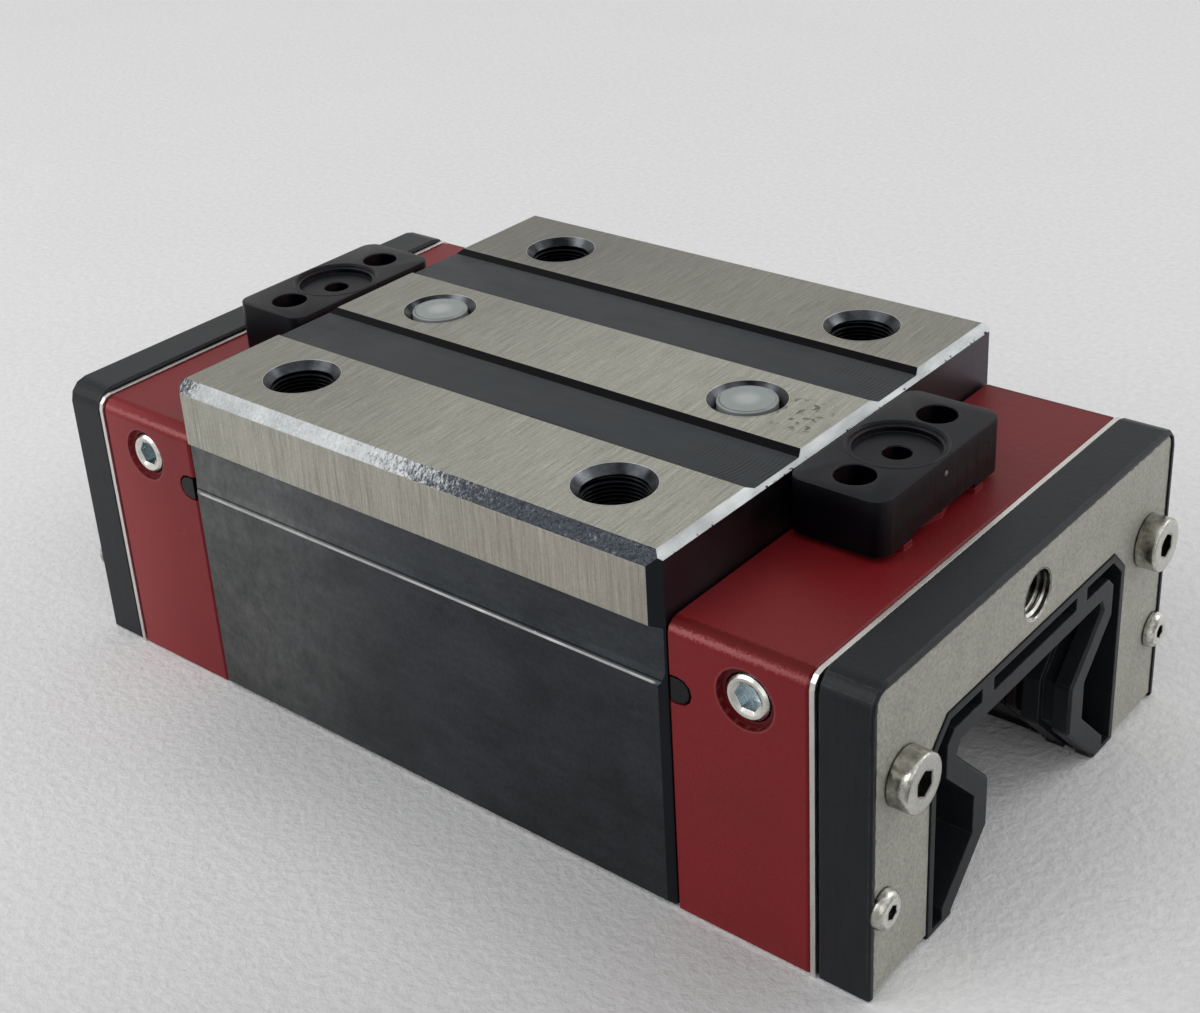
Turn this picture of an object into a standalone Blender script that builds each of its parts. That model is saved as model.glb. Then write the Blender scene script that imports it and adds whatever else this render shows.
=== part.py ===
"""Linear guide carriage for a 35 mm roller rail: a hardened block that runs on four roller circuits.

Metres, +Z up. X runs along the rail with the front at +X, and the left side is +Y. The carriage stands on
the floor plane Z = 0 with its mounting face on top. Every piece is an object of its own.
"""

import math

import bmesh
import bpy
from mathutils import Matrix, Vector

# Fits
CLEARANCE = 0.0003
SEAM = 0.0002
MERGE = 0.000001

# Rail head that the carriage runs on: its depth inside the block's side, and heights above the floor plane
RAIL_SIDE = 0.0180
RAIL_NECK = 0.0072
RAIL_TOP = 0.0230
WAIST_TOP = 0.0143
WAIST_BOTTOM = 0.0079
RAIL_GAP = 0.0009

# Roller circuits
ROLLER_DIAMETER = 0.0044
ROLLER_LENGTH = 0.0064
ROLLER_PLAY = 0.00035
CAGE_BAND = 0.0012
TURN_RADIUS = 0.0070
TURN_EASE = 0.0001
ROLLERS_PER_TURN = 4
NESTED_ROLLERS = 3
TURN_DIP = 0.0020
UPPER_FLANK_RUN = 0.0032
LOWER_FLANK_RUN = 0.00345

# Hardened carriage body
BODY_WIDTH = 0.0700
BODY_LENGTH = 0.0765
BODY_TOP = 0.0461
BODY_BOTTOM = 0.0004
BODY_TOP_CHAMFER = 0.0015
BODY_END_CHAMFER = 0.0010
CORNER_CHAMFER = 0.0013
GROUND_BAND = 0.0071
LEDGE_DROP = 0.0161
LEDGE_RISE = 0.0014
LEDGE_EDGE = 0.0003
LOWER_INSET = 0.0005
RELIEF_INSET = 0.0011
FOOT_CHAMFER = 0.0006
CENTRE_BAND = 0.0144
GROOVE_WIDTH = 0.0107
GROOVE_DEPTH = 0.0005
GROOVE_SLOPE = 0.0011
CEILING_ROOM = 0.0050
CHANNEL_ROOM = 0.0028
LEG_ROOM = 0.0030
NOSE_ROOM = 0.0044
SEAL_SEAT_DEPTH = 0.0015
SEAL_SEAT_WIDTH = 0.0015

# Mounting holes in the top face
HOLE_PITCH_LONG = 0.0500
HOLE_EDGE = 0.0100
HOLE_RADIUS = 0.0040
HOLE_FLOOR = 0.0028
COUNTERSINK_RADIUS = 0.0050
COUNTERSINK_DEPTH = 0.0010
DRILL_TIP = 0.0023
PLUG_ROOM = 0.0010
PLUG_SINK = 0.0005
PLUG_RIM = 0.0004

# End caps and the return blocks inside them
CAP_INSET = 0.0010
CAP_RISE = 0.0153
CAP_EDGE_RADIUS = 0.0018
CAP_EDGE_BEVEL = 0.0003
CAP_END_WALL = 0.0013
CHANNEL_TOP_GAP = 0.0012
TURN_WALL = 0.00077
CAP_SIDE_WALL = 0.0040
POCKET_DROP = 0.0002
SHOULDER_WIDTH = 0.0060
SHOULDER_RISE = 0.0018
BLOCK_BOTTOM = 0.0003
PORT_OUTSET = 0.0100
PORT_DROP = 0.0061
PORT_RADIUS = 0.0029
PORT_DEPTH = 0.0080
PORT_RECESS_RADIUS = 0.0036
PORT_RECESS_DEPTH = 0.0007
PORT_SCREW_LENGTH = 0.0045
PORT_SCREW_SINK = 0.0003
PORT_SOCKET = 0.0016
PORT_SOCKET_DEPTH = 0.0022
TAB_LENGTH = 0.00275
TAB_HEIGHT = 0.0029
TAB_DROP = 0.0001
TAB_THICKNESS = 0.0010

# Lubrication adapters on the caps
ADAPTER_SETBACK = 0.00065
ADAPTER_LENGTH = 0.0123
ADAPTER_WIDTH = 0.0260
ADAPTER_HEIGHT = 0.0068
ADAPTER_CORNER = 0.0020
ADAPTER_BEVEL = 0.0003
ADAPTER_ARCH_WIDTH = 0.0136
ADAPTER_ARCH_HEIGHT = 0.0005
ADAPTER_PAD_HEIGHT = 0.0006
ADAPTER_PAD_WIDTH = 0.0018
ADAPTER_BOSS_WALL = 0.0008
ADAPTER_RECESS_RADIUS = 0.0053
ADAPTER_RECESS_DEPTH = 0.0011
ADAPTER_PORT_RADIUS = 0.0017
ADAPTER_HOLE_RADIUS = 0.0024
ADAPTER_HOLE_OFFSET = 0.0087
O_RING_RADIUS = 0.0042
O_RING_SECTION = 0.0005
O_RING_SEAT = 0.0006

# Wiper stack on each end
SHEET_THICKNESS = 0.0006
SHEET_PROUD = 0.0001
FRAME_THICKNESS = 0.0064
FRAME_RISE = 0.00065
FRAME_CORNER = 0.0027
FRAME_BEVEL = 0.0003
FRAME_RIM = 0.0009
FRAME_OPENING_ROOM = 0.0043
FRAME_OPENING_RISE = 0.0042
FRAME_OPENING_CHAMFER = 0.0025
LIP_TOP = 0.0024
LIP_SIDE = 0.0022
LIP_WAIST = 0.0032
LIP_FLANK = 0.0027
LIP_CORNER = 0.0007
LIP_FOOT = 0.0008
LIP_GROOVE_DEPTH = 0.0009
LIP_GROOVE_START = 0.0024
LIP_GROOVE_WIDTH = 0.0018
WEB_INSET = 0.0074
WEB_WIDTH = 0.0025
SLOT_INSET = 0.0002
SLOT_DEPTH = 0.0016
PLATE_THICKNESS = 0.0017
PLATE_SINK = 0.0002
PLATE_CORNER = 0.0015
PLATE_BOTTOM = 0.0008
PLATE_OPENING_EDGE = 0.0010
GREASE_HOLE_RADIUS = 0.0030
GREASE_HOLE_DROP = 0.0058
GREASE_HOLE_DEPTH = 0.0060
GREASE_COLLAR_RADIUS = 0.0041
GREASE_COLLAR_LENGTH = 0.0040

# Fasteners
CAP_SCREW_INSET = 0.0060
CAP_SCREW_RISE = 0.0028
CAP_SCREW_RADIUS = 0.0020
CAP_SCREW_GRIP = 0.0090
CAP_SCREW_HEAD_RADIUS = 0.0034
CAP_SCREW_HEAD_HEIGHT = 0.0027
CAP_SCREW_SOCKET = 0.0016
CAP_SCREW_SOCKET_DEPTH = 0.0016
BUTTON_INSET = 0.0024
BUTTON_HEIGHT = 0.01125
BUTTON_RADIUS = 0.0010
BUTTON_LENGTH = 0.0117
BUTTON_HEAD_RADIUS = 0.0023
BUTTON_HEAD_HEIGHT = 0.0014
BUTTON_FLAT_RADIUS = 0.0014
BUTTON_RIM = 0.0004
BUTTON_SOCKET = 0.0009
BUTTON_SOCKET_DEPTH = 0.0008
SCREW_EDGE = 0.0003
SCREW_END_ROOM = 0.0010

# Retainers and bottom seals along the rail
STRIP_END_GAP = 0.0002
SEAL_LIP = 0.0003

# Facets
BORE_STEPS = 16
SMALL_STEPS = 12
HIDDEN_STEPS = 8
RING_STEPS = 16
RING_SECTION_STEPS = 5
CORNER_STEPS = 3
ROLLER_ARC_STEPS = 3
TURN_STEPS = 10
PAST = 0.0010
FLAT_ANGLE = math.radians(0.05)
BEVEL_ANGLE = math.radians(40)
SHARP_ANGLE = math.radians(35)
BODY_SHARP_ANGLE = math.radians(24)

# Values worked out from the sizes above
SLANT = math.sqrt(2)
ROLLER_RADIUS = ROLLER_DIAMETER / 2
PITCH = math.pi * TURN_RADIUS / ROLLERS_PER_TURN
PASSAGE_DEPTH = ROLLER_RADIUS + ROLLER_PLAY
PASSAGE_WIDTH = ROLLER_LENGTH / 2 + ROLLER_PLAY
LOWER_ROLLERS = math.floor((BODY_LENGTH - 2 * TURN_DIP) / PITCH)
UPPER_ROLLERS = LOWER_ROLLERS + NESTED_ROLLERS
UPPER_TURN_X = UPPER_ROLLERS * PITCH / 2
BODY_HALF = BODY_WIDTH / 2
BODY_END = BODY_LENGTH / 2
RAIL_HEAD = BODY_HALF - RAIL_SIDE
RAIL_WAIST = RAIL_HEAD - RAIL_NECK
UPPER_FLANK = WAIST_TOP - RAIL_WAIST
LOWER_FLANK = WAIST_BOTTOM + RAIL_WAIST
CHANNEL_CEILING = RAIL_TOP + CEILING_ROOM
CHANNEL_WALL = RAIL_HEAD + CHANNEL_ROOM
LEG_WALL = RAIL_HEAD + LEG_ROOM
NOSE = RAIL_WAIST + NOSE_ROOM
LEDGE_HEIGHT = BODY_TOP - LEDGE_DROP
GROOVE_INNER = CENTRE_BAND / 2
GROOVE_OUTER = GROOVE_INNER + GROOVE_WIDTH
HOLE_PITCH_WIDE = BODY_WIDTH - 2 * HOLE_EDGE
HOLE_DEPTH = BODY_TOP - CHANNEL_CEILING - HOLE_FLOOR - DRILL_TIP
PLUG_LENGTH = HOLE_DEPTH - PLUG_SINK - PLUG_ROOM
CAP_WIDTH = BODY_WIDTH - 2 * CAP_INSET
CAP_HALF = CAP_WIDTH / 2
CAP_TOP = RAIL_TOP + CAP_RISE
CAP_START = BODY_END + SEAM
POCKET_HALF_WIDTH = CAP_HALF - CAP_SIDE_WALL
POCKET_TOP = RAIL_TOP - POCKET_DROP
SHOULDER_TOP = RAIL_TOP + SHOULDER_RISE
BLOCK_END = UPPER_TURN_X + TURN_RADIUS + PASSAGE_DEPTH + TURN_WALL
POCKET_END = BLOCK_END + CLEARANCE
CAP_END = POCKET_END + CAP_END_WALL
SHEET_START = CAP_END + SEAM
SHEET_END = SHEET_START + SHEET_THICKNESS
FRAME_START = SHEET_END + SEAM
FRAME_END = FRAME_START + FRAME_THICKNESS
PLATE_FACE = FRAME_END - PLATE_SINK
PLATE_BACK = PLATE_FACE - PLATE_THICKNESS
FRAME_TOP = CAP_TOP + FRAME_RISE
FRAME_OPENING = RAIL_HEAD + FRAME_OPENING_ROOM
FRAME_OPENING_TOP = RAIL_TOP + FRAME_OPENING_RISE
WEB_INNER = RAIL_HEAD - WEB_INSET
WEB_OUTER = WEB_INNER + WEB_WIDTH
SLOT_END = RAIL_HEAD - SLOT_INSET
GREASE_HOLE_HEIGHT = CAP_TOP - GREASE_HOLE_DROP
CAP_SCREW_OFFSET = CAP_HALF - CAP_SCREW_INSET
CAP_SCREW_HEIGHT = RAIL_TOP + CAP_SCREW_RISE
BUTTON_OFFSET = CAP_HALF - BUTTON_INSET
PORT_X = BODY_END + PORT_OUTSET
PORT_HEIGHT = CAP_TOP - PORT_DROP
TAB_LEVEL = LEDGE_HEIGHT - TAB_DROP
ADAPTER_START = CAP_START + ADAPTER_SETBACK
ADAPTER_END = ADAPTER_START + ADAPTER_LENGTH
ADAPTER_X = (ADAPTER_START + ADAPTER_END) / 2
PAD_TOP = CAP_TOP + ADAPTER_PAD_HEIGHT
ADAPTER_BOTTOM = PAD_TOP + SEAM
ADAPTER_TOP = ADAPTER_BOTTOM + ADAPTER_HEIGHT
O_RING_SEAT_RADIUS = O_RING_RADIUS + O_RING_SECTION + CLEARANCE

# Local X, Y and Z of an outline laid across the rail, seen from above and seen from the left
ACROSS = Matrix(((0, 0, 1, 0), (1, 0, 0, 0), (0, 1, 0, 0), (0, 0, 0, 1)))
FLAT = Matrix.Identity(4)
SIDEWAYS = Matrix(((1, 0, 0, 0), (0, 0, -1, 0), (0, 1, 0, 0), (0, 0, 0, 1)))
HALF_TURN = Matrix.Rotation(math.pi, 4, "Z")

# The two sides by name, with the sign of their Y
SIDES = (("left", 1), ("right", -1))


def clear_scene():
    """Remove whatever the file holds before the carriage is built."""
    for leftover in list(bpy.data.objects):
        bpy.data.objects.remove(leftover)


def make_material(name, colour, roughness, metallic):
    """A plain Principled material in linear colour."""
    material = bpy.data.materials.new(name)
    material.use_nodes = True
    shader = material.node_tree.nodes["Principled BSDF"]
    shader.inputs["Base Color"].default_value = (*colour, 1)
    shader.inputs["Roughness"].default_value = roughness
    shader.inputs["Metallic"].default_value = metallic
    return material


def add_object(name, data, matrix, home=None):
    """Put a mesh or curve into a collection, which is the cutters' own unless another is given."""
    item = bpy.data.objects.new(name, data)
    (home or CUTTERS).objects.link(item)
    item.matrix_world = matrix
    return item


def bake(item):
    """Apply an object's modifiers to its mesh."""
    bpy.context.view_layer.update()
    evaluated = item.evaluated_get(bpy.context.evaluated_depsgraph_get())
    mesh = bpy.data.meshes.new_from_object(evaluated)
    mesh.name = item.name
    item.modifiers.clear()
    item.data = mesh
    return item


def welded_mesh(name, item):
    """The evaluated mesh of a curve with its caps joined to its sides and its faces turned out."""
    bpy.context.view_layer.update()
    evaluated = item.evaluated_get(bpy.context.evaluated_depsgraph_get())
    mesh = bpy.data.meshes.new_from_object(evaluated)
    mesh.name = name
    work = bmesh.new()
    work.from_mesh(mesh)
    bmesh.ops.remove_doubles(work, verts=work.verts, dist=MERGE)
    bmesh.ops.recalc_face_normals(work, faces=work.faces)
    work.to_mesh(mesh)
    work.free()
    return mesh


def prism(name, loops, start, end, plane=ACROSS):
    """A solid from flat closed outlines, the later ones being holes, between two levels of a plane."""
    curve = bpy.data.curves.new(name, "CURVE")
    curve.dimensions = "2D"
    curve.fill_mode = "BOTH"
    curve.extrude = (end - start) / 2
    for loop in loops:
        spline = curve.splines.new("POLY")
        spline.points.add(len(loop) - 1)
        for point, (u, v) in zip(spline.points, loop):
            point.co = (u, v, 0, 1)
        spline.use_cyclic_u = True
    matrix = plane @ Matrix.Translation((0, 0, (start + end) / 2))
    guide = add_object(name + "_outline", curve, matrix)
    mesh = welded_mesh(name, guide)
    bpy.data.objects.remove(guide)
    return add_object(name, mesh, matrix)


def turned(name, profile, steps, matrix):
    """A solid turned about its own Z axis from (radius, height) points that run down its outer side."""
    mesh = bpy.data.meshes.new(name)
    edges = [(i, i + 1) for i in range(len(profile) - 1)]
    mesh.from_pydata([(radius, 0, height) for radius, height in profile], edges, [])
    item = add_object(name, mesh, matrix)
    screw = item.modifiers.new("Turn", "SCREW")
    screw.steps = steps
    screw.render_steps = steps
    screw.use_merge_vertices = True
    screw.merge_threshold = MERGE
    return bake(item)


def solid(name, work, matrix):
    """An object from a bmesh primitive."""
    mesh = bpy.data.meshes.new(name)
    work.to_mesh(mesh)
    work.free()
    return add_object(name, mesh, matrix)


def rod(name, radius, start, end, matrix, steps=HIDDEN_STEPS):
    """A round bar or hole along the local Z axis."""
    work = bmesh.new()
    length = end - start
    bmesh.ops.create_cone(work, cap_ends=True, segments=steps, radius1=radius, radius2=radius, depth=length)
    return solid(name, work, matrix @ Matrix.Translation((0, 0, (start + end) / 2)))


def box(name, low, high):
    """A rectangular block between two opposite corners."""
    work = bmesh.new()
    bmesh.ops.create_cube(work, size=1)
    bmesh.ops.scale(work, vec=Vector(high) - Vector(low), verts=work.verts)
    return solid(name, work, Matrix.Translation((Vector(low) + Vector(high)) / 2))


def merge_flat_faces(item):
    """Join the faces that lie in one plane, which leaves fewer and cleaner facets."""
    work = bmesh.new()
    work.from_mesh(item.data)
    bmesh.ops.dissolve_limit(work, angle_limit=FLAT_ANGLE, verts=work.verts, edges=work.edges)
    work.to_mesh(item.data)
    work.free()
    return item


def combine(target, tools, operation):
    """Cut, join or intersect the target with each tool in turn, and drop the tools."""
    for tool in tools:
        modifier = target.modifiers.new(tool.name, "BOOLEAN")
        modifier.operation = operation
        modifier.solver = "EXACT"
        modifier.object = tool
        bake(target)
        bpy.data.objects.remove(tool)
    return merge_flat_faces(target)


def cut(target, tools):
    """Take the tools out of the target."""
    return combine(target, tools, "DIFFERENCE")


def bevel(item, width, segments=1):
    """Break the sharp edges of a solid."""
    modifier = item.modifiers.new("Bevel", "BEVEL")
    modifier.width = width
    modifier.segments = segments
    modifier.limit_method = "ANGLE"
    modifier.angle_limit = BEVEL_ANGLE
    return bake(item)


def finish(item, material, sharp_angle=SHARP_ANGLE):
    """Put a finished piece among the parts with its material, shaded smooth between sharp edges."""
    for home in list(item.users_collection):
        home.objects.unlink(item)
    PARTS.objects.link(item)
    item.data.materials.clear()
    item.data.materials.append(material)
    item.data.shade_smooth()
    item.data.set_sharp_from_angle(angle=sharp_angle)
    return item


def copy_of(item, name, matrix):
    """A second object that shares its mesh with the first, moved by a matrix in world space."""
    return add_object(name, item.data, matrix @ item.matrix_world, item.users_collection[0])


def front_and_rear(item, plain_name):
    """Name the front piece and add it again, turned half way round, at the rear."""
    item.name = f"front_{plain_name}"
    copy_of(item, f"rear_{plain_name}", HALF_TURN)


def across_corners(item, word, plain_name):
    """Name a front piece of one side and add it again, turned half way round, at the rear's other side."""
    other = "right" if word == "left" else "left"
    item.name = f"front_{word}_{plain_name}"
    copy_of(item, f"rear_{other}_{plain_name}", HALF_TURN)


def arc(centre, radius, start, end, steps):
    """Points along an arc, with both ends."""
    points = []
    for step in range(steps + 1):
        angle = start + (end - start) * step / steps
        points.append((centre[0] + radius * math.cos(angle), centre[1] + radius * math.sin(angle)))
    return points


def fillet(before, corner, after, radius, steps=CORNER_STEPS):
    """Points that round one corner of an outline."""
    origin = Vector(corner)
    to_before = (Vector(before) - origin).normalized()
    to_after = (Vector(after) - origin).normalized()
    half_angle = to_before.angle(to_after) / 2
    centre = origin + (to_before + to_after).normalized() * radius / math.sin(half_angle)
    first = origin + to_before * radius / math.tan(half_angle)
    start = first - centre
    last = origin + to_after * radius / math.tan(half_angle)
    sweep = start.angle_signed(last - centre)
    points = []
    for step in range(steps + 1):
        turn = -sweep * step / steps
        spoke = Matrix.Rotation(turn, 2) @ start
        points.append(tuple(centre + spoke))
    return points


def outline(corners):
    """A closed outline from (u, v) corners, where a third value rounds the corner."""
    points = []
    count = len(corners)
    for index, corner in enumerate(corners):
        if len(corner) == 2:
            points.append(corner)
            continue
        before = corners[index - 1][:2]
        after = corners[(index + 1) % count][:2]
        points.extend(fillet(before, corner[:2], after, corner[2]))
    return points


def mirrored(half):
    """Both halves of an outline whose left half is given, ends on the middle line included."""
    other = [(-corner[0], *corner[1:]) for corner in reversed(half) if corner[0] > 0]
    return list(half) + other


def circle(centre, radius, steps=SMALL_STEPS):
    """A closed round loop."""
    return arc(centre, radius, 0, 2 * math.pi, steps)[:-1]


def hexagon(radius):
    """A closed six-sided loop with the given corner radius."""
    return circle((0, 0), radius, 6)


def quarter_round(inner, outer, steps=CORNER_STEPS):
    """Points along a rounded shoulder from an inner top point to an outer lower one."""
    points = []
    for step in range(steps + 1):
        angle = math.pi / 2 * step / steps
        across = inner[0] + (outer[0] - inner[0]) * math.sin(angle)
        points.append((across, outer[1] + (inner[1] - outer[1]) * math.cos(angle)))
    return points


def meeting(total, difference):
    """The Y and Z place that has a given y + z and a given y - z."""
    return (total + difference) / 2, (total - difference) / 2


def rail_opening(side, waist, flank_gap, top, bottom=-PAST):
    """The left half of an opening that follows the rail, from the middle of its top down to its foot."""
    upper = UPPER_FLANK - flank_gap * SLANT
    lower = LOWER_FLANK + flank_gap * SLANT
    return [
        (0, top),
        (side, top),
        (side, side + upper),
        (waist, waist + upper),
        (waist, lower - waist),
        (side, lower - side),
        (side, bottom),
    ]


def clear_opening(gap, top_gap, bottom):
    """The opening round the rail with one gap on its sides and flanks."""
    return rail_opening(RAIL_HEAD + gap, RAIL_WAIST + gap, gap, RAIL_TOP + top_gap, bottom)


class Circuit:
    """The section of one roller circuit: where its loaded row lies and which way it turns back."""

    def __init__(self, name, side, upper):
        self.name = name
        self.upper = upper
        self.rollers = UPPER_ROLLERS if upper else LOWER_ROLLERS
        self.turn_x = self.rollers * PITCH / 2
        if upper:
            flank_y = RAIL_WAIST + UPPER_FLANK_RUN
            flank = Vector((0, flank_y, flank_y + UPPER_FLANK))
            away = Vector((0, 1, -1)).normalized()
        else:
            flank_y = RAIL_WAIST + LOWER_FLANK_RUN
            flank = Vector((0, flank_y, LOWER_FLANK - flank_y))
            away = Vector((0, 1, 1)).normalized()
        place = flank + away * ROLLER_RADIUS
        self.centre = Vector((0, side * place.y, place.z))
        self.away = Vector((0, side * away.y, away.z))

    def matrix(self, x=0.0, out=0.0):
        """A frame with X along the rail and Y away from it, at a distance along and out from the row."""
        rail = Vector((1, 0, 0))
        axle = rail.cross(self.away)
        turn = Matrix((rail, self.away, axle)).transposed().to_4x4()
        return Matrix.Translation(self.centre + rail * x + self.away * out) @ turn


def row_section(circuit, out):
    """The passage of a straight row as a loop across the rail."""
    y_axis = circuit.away
    x_axis = Vector((1, 0, 0)).cross(y_axis)
    middle = circuit.centre + y_axis * out
    loop = []
    for u, v in ((-1, -1), (1, -1), (1, 1), (-1, 1)):
        corner = middle + x_axis * u * PASSAGE_WIDTH + y_axis * v * PASSAGE_DEPTH
        loop.append((corner.y, corner.z))
    return loop


def turn_cutter(circuit, start_x):
    """The front turn's passage, with straight mouths back to start_x."""
    outer = TURN_RADIUS + PASSAGE_DEPTH + TURN_EASE
    inner = TURN_RADIUS - PASSAGE_DEPTH - TURN_EASE
    width = PASSAGE_WIDTH + TURN_EASE
    mouth = start_x - circuit.turn_x
    quarter = math.pi / 2
    loop = arc((0, 0), outer, -quarter, quarter, TURN_STEPS)
    if mouth < 0:
        loop += [(mouth, outer), (mouth, inner)]
    loop += arc((0, 0), inner, quarter, -quarter, TURN_STEPS)
    if mouth < 0:
        loop += [(mouth, -inner), (mouth, -outer)]
    frame = circuit.matrix(circuit.turn_x, TURN_RADIUS)
    return prism("turn_cutter", [loop], -width, width, frame)


def chain_loop(stations):
    """The outline of rollers joined by their cage band, from (centre, travel angle) stations."""
    grip = math.asin(CAGE_BAND / ROLLER_DIAMETER)
    last = len(stations) - 1
    top = []
    bottom = []
    for index, (centre, heading) in enumerate(stations):
        back = math.pi if index == 0 else math.pi - grip
        ahead = 0 if index == last else grip
        top += arc(centre, ROLLER_RADIUS, heading + back, heading + ahead, ROLLER_ARC_STEPS)
        lower = arc(centre, ROLLER_RADIUS, heading - back, heading - ahead, ROLLER_ARC_STEPS)
        bottom += lower[1:] if index == 0 else lower
    return top + list(reversed(bottom[:-1]))


def roller_row(name, circuit, out):
    """A straight run of rollers in their cage band."""
    first = -(circuit.rollers - 1) * PITCH / 2
    stations = [((first + index * PITCH, 0), 0) for index in range(circuit.rollers)]
    half = ROLLER_LENGTH / 2
    return prism(name, [chain_loop(stations)], -half, half, circuit.matrix(0, out))


def roller_turn(name, circuit, direction):
    """The rollers in one turn, about the turn's own axis."""
    step = math.pi / ROLLERS_PER_TURN
    stations = []
    for index in range(ROLLERS_PER_TURN):
        angle = -math.pi / 2 + (index + 0.5) * step
        place = (direction * TURN_RADIUS * math.cos(angle), TURN_RADIUS * math.sin(angle))
        stations.append((place, direction * (angle + math.pi / 2) + (0 if direction > 0 else math.pi)))
    half = ROLLER_LENGTH / 2
    frame = circuit.matrix(direction * circuit.turn_x, TURN_RADIUS)
    return prism(name, [chain_loop(stations)], -half, half, frame)


def upper_lines():
    """Slanted lines round the left upper row: y - z at rail and raceway, y + z at its inner and outer end."""
    row = CIRCUITS[0].centre
    reach = PASSAGE_WIDTH * SLANT
    rail = RAIL_GAP * SLANT - UPPER_FLANK
    race = row.y - row.z + ROLLER_RADIUS * SLANT
    return rail, race, row.y + row.z - reach, row.y + row.z + reach


def lower_lines():
    """Slanted lines round the left lower row: y + z at rail and raceway, y - z at its inner and outer end."""
    row = CIRCUITS[1].centre
    reach = PASSAGE_WIDTH * SLANT
    rail = RAIL_GAP * SLANT + LOWER_FLANK
    race = row.y + row.z + ROLLER_RADIUS * SLANT
    return rail, race, row.y - row.z - reach, row.y - row.z + reach


def body_section():
    """The left half of the block's section, from the middle of its top round to the channel."""
    lower = BODY_HALF - LOWER_INSET
    relief = BODY_HALF - RELIEF_INSET
    band_foot = BODY_TOP - BODY_TOP_CHAMFER - GROUND_BAND
    upper_race = upper_lines()[1] + CLEARANCE * SLANT
    lower_race = lower_lines()[1] + CLEARANCE * SLANT
    seal_wall = LEG_WALL + SEAL_SEAT_WIDTH
    seal_top = BODY_BOTTOM + SEAL_SEAT_DEPTH
    return [
        (0, BODY_TOP),
        (GROOVE_INNER, BODY_TOP),
        (GROOVE_INNER + GROOVE_SLOPE, BODY_TOP - GROOVE_DEPTH),
        (GROOVE_OUTER - GROOVE_SLOPE, BODY_TOP - GROOVE_DEPTH),
        (GROOVE_OUTER, BODY_TOP),
        (BODY_HALF - BODY_TOP_CHAMFER, BODY_TOP),
        (BODY_HALF, BODY_TOP - BODY_TOP_CHAMFER),
        (BODY_HALF, band_foot),
        (relief, band_foot - RELIEF_INSET / 2),
        (relief, LEDGE_HEIGHT + LEDGE_RISE),
        (lower - LEDGE_EDGE, LEDGE_HEIGHT + LEDGE_EDGE),
        (lower, LEDGE_HEIGHT),
        (lower, BODY_BOTTOM + FOOT_CHAMFER),
        (lower - FOOT_CHAMFER, BODY_BOTTOM),
        (seal_wall, BODY_BOTTOM),
        (seal_wall, seal_top),
        (LEG_WALL, seal_top),
        (LEG_WALL, lower_race - LEG_WALL),
        (NOSE, lower_race - NOSE),
        (NOSE, NOSE - upper_race),
        (CHANNEL_WALL, CHANNEL_WALL - upper_race),
        (CHANNEL_WALL, CHANNEL_CEILING),
        (0, CHANNEL_CEILING),
    ]


def body_plan():
    """The block seen from above, with its corners cut off."""
    cut_x = BODY_END - CORNER_CHAMFER
    cut_y = BODY_HALF - CORNER_CHAMFER
    quarter = [(BODY_END, cut_y), (cut_x, BODY_HALF)]
    half = quarter + [(-x, y) for x, y in reversed(quarter)]
    return half + [(x, -y) for x, y in reversed(half)]


def body_side():
    """The block seen from the side, with its top edges cut off at both ends."""
    cut_x = BODY_END - BODY_END_CHAMFER
    cut_z = BODY_TOP - BODY_END_CHAMFER
    front = [(BODY_END, BODY_BOTTOM - PAST), (BODY_END, cut_z), (cut_x, BODY_TOP)]
    return front + [(-x, z) for x, z in reversed(front)]


def mounting_hole(x, y):
    """A countersunk tapped hole, down from the top face."""
    deep = BODY_TOP - HOLE_DEPTH
    reach = COUNTERSINK_RADIUS + PAST
    profile = [
        (0, BODY_TOP + PAST),
        (reach, BODY_TOP + PAST),
        (HOLE_RADIUS, BODY_TOP - COUNTERSINK_DEPTH),
        (HOLE_RADIUS, deep),
        (0, deep - DRILL_TIP),
    ]
    return turned("mounting_hole", profile, BORE_STEPS, Matrix.Translation((x, y, 0)))


def end_bore(y, z, radius, start, end, steps=HIDDEN_STEPS):
    """A round cutter along the rail direction."""
    return rod("bore", radius, start, end, Matrix.Translation((0, y, z)) @ ACROSS, steps)


def cap_screw_bores(start, end):
    """The clearance bores of the left and right cap screws."""
    radius = CAP_SCREW_RADIUS + CLEARANCE
    return [end_bore(side * CAP_SCREW_OFFSET, CAP_SCREW_HEIGHT, radius, start, end) for _, side in SIDES]


def button_screw_bores(start, end):
    """The clearance bores of the left and right button screws."""
    radius = BUTTON_RADIUS + CLEARANCE
    return [end_bore(side * BUTTON_OFFSET, BUTTON_HEIGHT, radius, start, end) for _, side in SIDES]


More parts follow.
